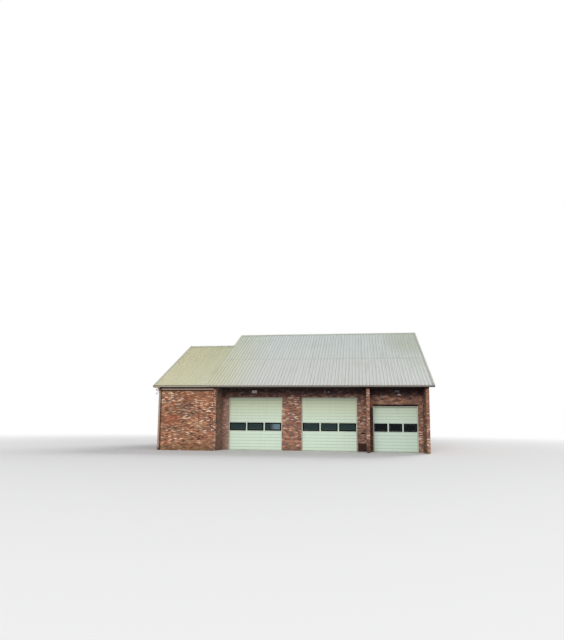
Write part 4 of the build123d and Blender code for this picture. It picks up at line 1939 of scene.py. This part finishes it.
@dataclass
class TwinLamps:
    """Bezels and domed, ribbed lenses of the twin floodlights."""

    plan: Plan
    sides: int = 28
    mouth_radius: float = 0.062
    lens_radius: float = 0.054
    bezel_depth: float = 0.004
    bezel_bevel: float = 0.001
    lens_play: float = 0.0005
    dome_foot: float = 0.0055
    dome_rise: float = 0.001
    dome_rib: float = 0.0012
    dome_rings: int = 7
    wing_inset: float = 0.13
    wing_drop: float = 0.262
    wing_canopy_depth: float = 0.105
    door_shift: float = -0.15
    door_drop: float = 0.14

    def on_wing(self) -> TwinFloodlight:
        """Places the light at the wing's front corner, with one lamp over the other.

        Returns:
            The light.
        """
        plan, depth = self.plan, self.wing_canopy_depth
        seat = Vector((plan.wing_outside, plan.front + self.wing_inset, plan.soffit - self.wing_drop))
        return TwinFloodlight("floodlight_wing", seat, UP, LEFT, 0.5, -0.2, canopy_depth=depth)

    def over_door(self) -> TwinFloodlight:
        """Places the light over the second door, with its lamps side by side.

        Returns:
            The light.
        """
        plan, door = self.plan, self.plan.doors[1]
        middle = (door.left + door.right) / 2 + self.door_shift
        seat = Vector((middle, plan.door_face, plan.soffit - self.door_drop))
        return TwinFloodlight("floodlight_door_2", seat, RIGHT, FORWARD, 0.35, -0.3)

    def glaze(self, light: TwinFloodlight, bezel: Material, lens: Material) -> None:
        """Puts a bezel and a domed, ribbed lens on both lamps.

        Args:
            light: the floodlight.
            bezel: its bezels' finish.
            lens: its lenses' finish.
        """
        bezels, lenses = Shape(f"{light.name}_bezels"), Shape(f"{light.name}_lenses")
        mouth, inner, depth = self.mouth_radius, self.lens_radius, self.bezel_depth
        rim = [(mouth, 0.0), (mouth, depth), (inner, depth + self.bezel_bevel)]
        dome = [(inner - self.lens_play, 0.0)]
        for ring in range(self.dome_rings):
            height = self.dome_foot + self.dome_rise * ring + self.dome_rib * (ring % 2)
            dome.append((inner * (1 - ring / self.dome_rings), height))
        for middle, way in light.mouths():
            bezels.turned(middle, way, rim, self.sides)
            lenses.turned(middle, way, dome, self.sides)
        bezels.piece(Slot.LIGHT_DARK, bezel)
        lenses.piece(Slot.LIGHT_WHITE, lens)


@dataclass
class BoxLamp:
    """The fluted pane of the box floodlight, in its sunk and leaning front."""

    lens: Material
    lean: float = 0.055
    border: float = 0.016
    sunk: float = 0.008
    flutes: int = 18
    relief: float = 0.003

    def build(self) -> None:
        """Glazes the light over the first door."""
        low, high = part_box("floodlight_door_1")
        shape = Shape("floodlight_door_1_lens")
        lean = self.lean / (high.z - low.z)
        width = (high.x - low.x - 2 * self.border) / self.flutes
        corners = []
        for number in range(2 * self.flutes + 1):
            x = low.x + self.border + number * width / 2
            relief = self.relief * (number % 2)
            for z in (low.z + self.border, high.z - self.border):
                corners.append(Vector((x, low.y + lean * (high.z - z) + self.sunk - relief, z)))
        faces = [(2 * n, 2 * n + 2, 2 * n + 3, 2 * n + 1) for n in range(2 * self.flutes)]
        shape.add(corners, faces)
        shape.piece(Slot.LIGHT_WHITE, self.lens)


@dataclass
class HungLamp:
    """The rimmed pane of the lamp head that hangs from the timer box."""

    bezel: Material
    lens: Material
    width: float = 0.204
    height: float = 0.062
    jamb: float = 0.01
    rail: float = 0.008
    rim_depth: float = 0.006
    pane_depth: float = 0.003

    def build(self) -> None:
        """Glazes the light over the third door."""
        low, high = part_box("floodlight_door_3")
        left, right, foot, top, face = high.x - self.width, high.x, low.z, low.z + self.height, low.y
        inner_left, inner_right = left + self.jamb, right - self.jamb
        inner_foot, inner_top = foot + self.rail, top - self.rail
        pane, rim = Shape("floodlight_door_3_lens"), Shape("floodlight_door_3_bezel")
        pane.box((inner_left, face - self.pane_depth, inner_foot), (inner_right, face, inner_top))
        pane.piece(Slot.LIGHT_WHITE, self.lens)
        near = face - self.rim_depth
        rim.box((left, near, foot), (right, face, inner_foot))
        rim.box((left, near, inner_top), (right, face, top))
        rim.box((left, near, inner_foot), (inner_left, face, inner_top))
        rim.box((inner_right, near, inner_foot), (right, face, inner_top))
        rim.piece(Slot.LIGHT_WHITE, self.bezel)


# Studio


@dataclass(frozen=True)
class PhotoCamera:
    """The photograph's viewpoint: turns in degrees, and the picture's measures in pixels.

    The axis row is the one that the lens points at, counted from the picture's head.
    """

    place: Point = (4.362, -44.678, 1.737)
    turned_left: float = 8.063
    pitched_up: float = 7.186
    rolled: float = 0.47
    focal_pixels: float = 529.06
    frame_height: int = 640
    axis_row: float = 358.06
    sensor: float = 36.0
    reach: float = 500.0

    def build(self) -> bpy.types.Object:
        """Makes the camera and looks through it.

        Returns:
            The camera.
        """
        lens = bpy.data.cameras.new("photo_camera")
        lens.sensor_width = self.sensor
        lens.lens = self.focal_pixels / self.frame_height * self.sensor
        lens.shift_y = (self.axis_row - self.frame_height / 2) / self.frame_height
        lens.clip_end = self.reach
        camera = bpy.data.objects.new("photo_camera", lens)
        bpy.context.scene.collection.objects.link(camera)
        turn = Matrix.Rotation(math.radians(self.turned_left), 4, "Z")
        pitch = Matrix.Rotation(math.radians(90 + self.pitched_up), 4, "X")
        roll = Matrix.Rotation(math.radians(self.rolled), 4, "Z")
        camera.matrix_world = Matrix.Translation(self.place) @ turn @ pitch @ roll
        bpy.context.scene.camera = camera
        return camera


@dataclass(frozen=True)
class Lamp:
    """A soft, distant studio lamp."""

    name: str
    from_direction: Point
    strength: float
    spread: float

    def build(self) -> None:
        """Hangs the lamp."""
        light = bpy.data.lights.new(self.name, "SUN")
        light.energy = self.strength
        light.angle = math.radians(self.spread)
        made = bpy.data.objects.new(self.name, light)
        made.rotation_mode = "QUATERNION"
        made.rotation_quaternion = Vector(self.from_direction).to_track_quat("Z", "Y")
        bpy.context.scene.collection.objects.link(made)


@dataclass(frozen=True)
class Studio:
    """A pale floor, a white background, a key lamp, two fills and soft light all round."""

    lamps: tuple[Lamp, ...] = (
        Lamp("key", (-0.1165, -0.949, 0.292), 2.0, 30.0),
        Lamp("side_fill", (0.7, -0.66, 0.28), 0.5, 60.0),
        Lamp("back_fill", (0.45, 0.75, 0.5), 1.5, 30.0),
    )
    sky: float = 0.3
    sky_tint: Colour = (0.98, 0.99, 1.03, 1.0)
    floor_colour: Colour = (0.86, 0.86, 0.85, 1.0)
    floor_bounce: Colour = (0.34, 0.34, 0.33, 1.0)
    floor_reach: float = 400.0
    floor_level: float = -0.002
    floor_roughness: float = 0.9
    white_from: float = 16.0
    white_to: float = 60.0

    def build(self) -> None:
        """Lights the scene and lays the floor."""
        bpy.context.scene.view_settings.view_transform = "Standard"
        self.light_world()
        for lamp in self.lamps:
            lamp.build()
        self.lay_floor()

    def light_world(self) -> None:
        """Makes soft light all round, with white where the camera or a reflection sees it."""
        world = bpy.data.worlds.new("studio")
        world.use_nodes = True
        bpy.context.scene.world = world
        graph = Graph(world.node_tree)
        seen = self.seen(graph)
        strength = self.sky + seen * (1.0 - self.sky)
        inputs = {"Color": graph.mix(seen, self.sky_tint, WHITE), "Strength": strength}
        light = graph.out("ShaderNodeBackground", "Background", None, inputs)
        graph.node("ShaderNodeOutputWorld", None, {"Surface": light})

    @staticmethod
    def seen(graph: Graph) -> Socket:
        """Tells what is looked at from light that falls on things.

        Args:
            graph: the nodes.

        Returns:
            1 where the camera, a reflection or glass looks, and 0 elsewhere.
        """
        path = graph.node("ShaderNodeLightPath")
        rays = ("Is Camera Ray", "Is Glossy Ray", "Is Transmission Ray")
        camera, glossy, through = (Socket(graph, path.outputs[ray]) for ray in rays)
        return graph.math("MAXIMUM", graph.math("MAXIMUM", camera, glossy), through)

    def lay_floor(self) -> None:
        """Lays a wide, plain floor just under the building."""
        reach, level = self.floor_reach, self.floor_level
        corners = [(x * reach, y * reach, level) for x, y in ((-1, -1), (1, -1), (1, 1), (-1, 1))]
        mesh = bpy.data.meshes.new("floor")
        mesh.from_pydata(corners, [], [(0, 1, 2, 3)])
        mesh.materials.append(self.floor_finish())
        floor = bpy.data.objects.new("floor", mesh)
        bpy.context.scene.collection.objects.link(floor)
        floor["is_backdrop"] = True

    def floor_finish(self) -> Material:
        """Makes the floor's finish, which turns white far away.

        Returns:
            The material.
        """
        made = bpy.data.materials.new("floor_pale")
        made.use_nodes = True
        graph = Graph(made.node_tree)
        seen = self.seen(graph)
        x, y, _ = graph.axes(graph.place())
        away = graph.math("SQRT", x * x + y * y)
        paint = graph.mix(seen, self.floor_bounce, self.floor_colour)
        plain = {"Base Color": paint, "Roughness": self.floor_roughness}
        mixed = {
            0: graph.fade(away, self.white_from, self.white_to) * seen,
            1: graph.out("ShaderNodeBsdfPrincipled", "BSDF", None, plain),
            2: graph.out("ShaderNodeEmission", "Emission", None, {"Color": WHITE, "Strength": 1.0}),
        }
        surface = graph.out("ShaderNodeMixShader", "Shader", None, mixed)
        graph.node("ShaderNodeOutputMaterial", None, {"Surface": surface})
        return made


# Putting it together


@dataclass
class Palette:
    """Builds each slot's material once."""

    plan: Plan
    marks: Marks
    timer_height: float = 0.137
    metal_length: float = 3.05
    made: dict[Slot, Material] = field(default_factory=dict)

    def build(self) -> dict[Slot, Material]:
        """Makes the material of every slot.

        Returns:
            The materials by slot; the brick slot's is the mortar that shows on the wall itself.
        """
        finishes = {**self.roofs(), **self.walls_and_doors(), **self.metals(), **self.lights()}
        self.made = {slot: finish.material() for slot, finish in finishes.items()}
        return self.made

    def roofs(self) -> dict[Slot, Finish]:
        """The sheets of both roofs.

        Returns:
            Their finishes by slot.
        """
        main_front, main_back, wing_front, wing_back = self.plan.slopes
        main = RoofFinish(
            "roof_sheet",
            colour(212, 215, 209),
            front=main_front,
            back=main_back,
            lap_run=5.856,
            side_tint=colour(204, 204, 160),
            tint_from=-1.8,
            tint_to=-5.8,
            stains=(
                Stain(9.1, -1.6, 3.0, 4.8, colour(154, 157, 120), 0.4),
                Stain(9.077, -9.277, 0.07, 0.03, colour(60, 52, 46), 0.9),
            ),
        )
        wing = RoofFinish(
            "wing_roof_sheet",
            colour(208, 204, 168),
            front=wing_front,
            back=wing_back,
            tint_from=-8.2,
            tint_to=-5.4,
            side_tint=colour(202, 204, 173),
            clean_and_lit=colour(222, 220, 190),
            grime_and_shade=colour(150, 146, 112),
            lichen=colour(184, 182, 136),
            rib_dirt_and_shade=0.2,
            rinse_and_highlight=0.08,
            ridge_tint=colour(144, 142, 84),
            shaded_ends_from=4.286,
        )
        return {Slot.ROOF: main, Slot.WING_ROOF: wing}

    def walls_and_doors(self) -> dict[Slot, Finish]:
        """Mortar, concrete, boards and the doors' parts.

        Returns:
            Their finishes by slot.
        """
        marks, worn, old = self.marks, colour(56, 47, 43), colour(142, 120, 104)
        tan = colour(172, 149, 131)
        frieze = BoardFinish("frieze_board", tan, 0.65, 0.15, bare=old, board_width=0.5)
        trims = PaintedMetal(
            "door_trim_paint", colour(204, 208, 190), 0.5, amount=0.25, patches=marks.on_trims()
        )
        return {
            Slot.BRICK: MortarFinish("mortar", colour(132, 102, 82), patches=marks.on_walls()),
            Slot.CONCRETE: ConcreteFinish("concrete", colour(172, 164, 150)),
            # the soffits' dark stain, taken darker as painted shade of the shaded ceiling
            Slot.SOFFIT: BoardFinish("soffit_boards", colour(36, 30, 28), 0.7, 0.15, bare=worn),
            Slot.FRIEZE: frieze,
            Slot.DOOR: DoorEnamel("door_enamel", colour(204, 216, 200), patches=marks.on_doors()),
            Slot.DOOR_TRIM: trims,
            Slot.FRAME: Rubbed("window_frame", colour(1, 1, 2), 0.5, 0.01, grey=colour(8, 8, 9)),
            Slot.GLASS: DoorGlass("door_glass", colour(42, 60, 61), patches=marks.on_glass()),
        }

    def metals(self) -> dict[Slot, Finish]:
        """Trims, gutters, downspouts and the letter slot.

        Returns:
            Their finishes by slot.
        """
        step, tan, slot = self.metal_length, colour(164, 138, 122), colour(6, 3, 3)
        gutter_dirt, tan_dirt, slot_dirt = colour(108, 95, 86), colour(112, 92, 80), colour(20, 10, 9)
        shaded = self.marks.on_downspout()
        return {
            Slot.TRIM: PaintedMetal("trim_metal", colour(204, 205, 194), 0.5, amount=0.2, joint_step=step),
            Slot.GUTTER: GutterFinish(
                "gutter_metal", colour(148, 138, 131), 0.5, dirt=gutter_dirt, joint_step=step
            ),
            Slot.DOWNSPOUT: PaintedMetal(
                "downspout_paint", tan, 0.5, dirt=tan_dirt, amount=0.25, patches=shaded
            ),
            Slot.LETTER_SLOT: PaintedMetal(
                "letter_slot", slot, 0.6, 0.03, dirt=slot_dirt, amount=0.2, chalk=0.004
            ),
        }

    def lights(self) -> dict[Slot, Finish]:
        """The floodlights' bodies; the timer box is grey and the lamp head below it is white.

        Returns:
            Their finishes by slot.
        """
        timer_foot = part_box("floodlight_door_3")[1].z - self.timer_height
        grey, white = colour(148, 144, 162), colour(222, 210, 214)
        return {
            Slot.LIGHT_WHITE: PaintedMetal("light_white", colour(238, 231, 230), 0.45, amount=0.12),
            Slot.LIGHT_DARK: PaintedMetal("light_dark", colour(58, 54, 52), 0.45, amount=0.15),
            Slot.LIGHT_GREY: TwoToneMetal(
                "light_grey", grey, 0.45, amount=0.2, lower_paint=white, lower_from=timer_foot
            ),
        }

    def dress_nodes(self, frame: dict) -> None:
        """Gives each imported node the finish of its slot.
        """
        for part in frame["record"]["subparts"]:
            node = frame["nodes"][part["node"]]
            material = self.made[Slot(part["material_slot"])]
            if not node.material_slots:
                node.data.materials.append(material)
            for place in node.material_slots:
                place.material = material


def write_sizes(packed: tuple[Vector, Vector]) -> None:
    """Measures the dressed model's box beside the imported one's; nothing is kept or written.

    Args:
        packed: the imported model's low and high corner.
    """
    boxes = {"cad": packed, "visual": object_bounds()}
    {name: [list(corner) for corner in box] for name, box in boxes.items()}


def main() -> None:
    """Builds the whole scene."""
    logging.basicConfig(level=logging.INFO, format="%(name)s: %(message)s")
    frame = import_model()
    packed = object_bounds()
    plan = Plan.read()
    marks = Marks(plan)
    palette = Palette(plan, marks)
    made = palette.build()
    palette.dress_nodes(frame)

    brick = BrickFinish("brick", colour(92, 62, 54), patches=marks.on_walls())
    # a near-black strip that stands for the shadow under the frieze board
    shadow_strip = BoardFinish("frieze_shadow_strip", colour(26, 15, 10), 0.8, 0.05, bare=colour(44, 27, 19))
    sealant = Rubbed("sealant", colour(44, 36, 34), 0.8)
    Brickwork(plan, Bricklayer(Brick(), brick.material())).build()
    WallStrips(plan, shadow_strip.material(), sealant.material()).build()

    fixings = PaintedMetal("roof_fixings", colour(168, 168, 162), 0.4, amount=0.3, metallic=0.3)
    screws = RoofScrews(fixings.material(), plan.main_roof.rise)
    for slope in plan.slopes:
        screws.fix_sheets(slope)
    screws.fix_cap("main_ridge_cap", plan.slopes[0])
    screws.fix_cap("wing_ridge_cap", plan.slopes[2])
    screws.fix_rake("main_right_rake_trim", 1, plan.main_roof.ridge_y)
    screws.fix_rake("main_left_rake_trim", -1, plan.main_roof.ridge_y)
    screws.fix_rake("wing_left_rake_trim", -1, plan.wing_roof.ridge_y)

    spacer = PaintedMetal("spacer_bars", colour(68, 76, 78), 0.4, 0.08, amount=0.2, chalk=0.06)
    glazing = DoorGlazing(made[Slot.FRAME], spacer.material())
    for door in plan.doors:
        glazing.build(door)
    rust, soot, dark = colour(96, 52, 34), colour(46, 32, 24), colour(26, 22, 17)
    steel = PaintedMetal("lintel_steel", colour(66, 40, 34), 0.6, dirt=rust, amount=0.5)
    plate = PaintedMetal("head_plate_steel", dark, 0.7, 0.1, dirt=soot, amount=0.4, chalk=0.03)
    rubber = Rubbed("rubber_fins", colour(28, 27, 26), 0.7)
    DoorFittings(plan, steel.material(), plate.material(), rubber.material()).build()
    LetterFlap(made[Slot.LETTER_SLOT]).build()
    hangers = GutterFittings(made[Slot.GUTTER])
    for gutter in ("front_gutter", "main_back_gutter", "wing_back_gutter"):
        hangers.build(gutter)

    clear = Rubbed("lamp_lenses", colour(244, 232, 232), 0.2, grey=colour(206, 192, 192)).material()
    dull = Rubbed("dull_lamp_lenses", colour(180, 170, 178), 0.2, grey=colour(132, 124, 130)).material()
    twins = TwinLamps(plan)
    twins.glaze(twins.on_wing(), made[Slot.LIGHT_WHITE], clear)
    twins.glaze(twins.over_door(), made[Slot.LIGHT_DARK], dull)
    BoxLamp(clear).build()
    HungLamp(made[Slot.LIGHT_WHITE], clear).build()

    Studio().build()
    PhotoCamera().build()
    write_sizes(packed)


if __name__ == "__main__":
    main()
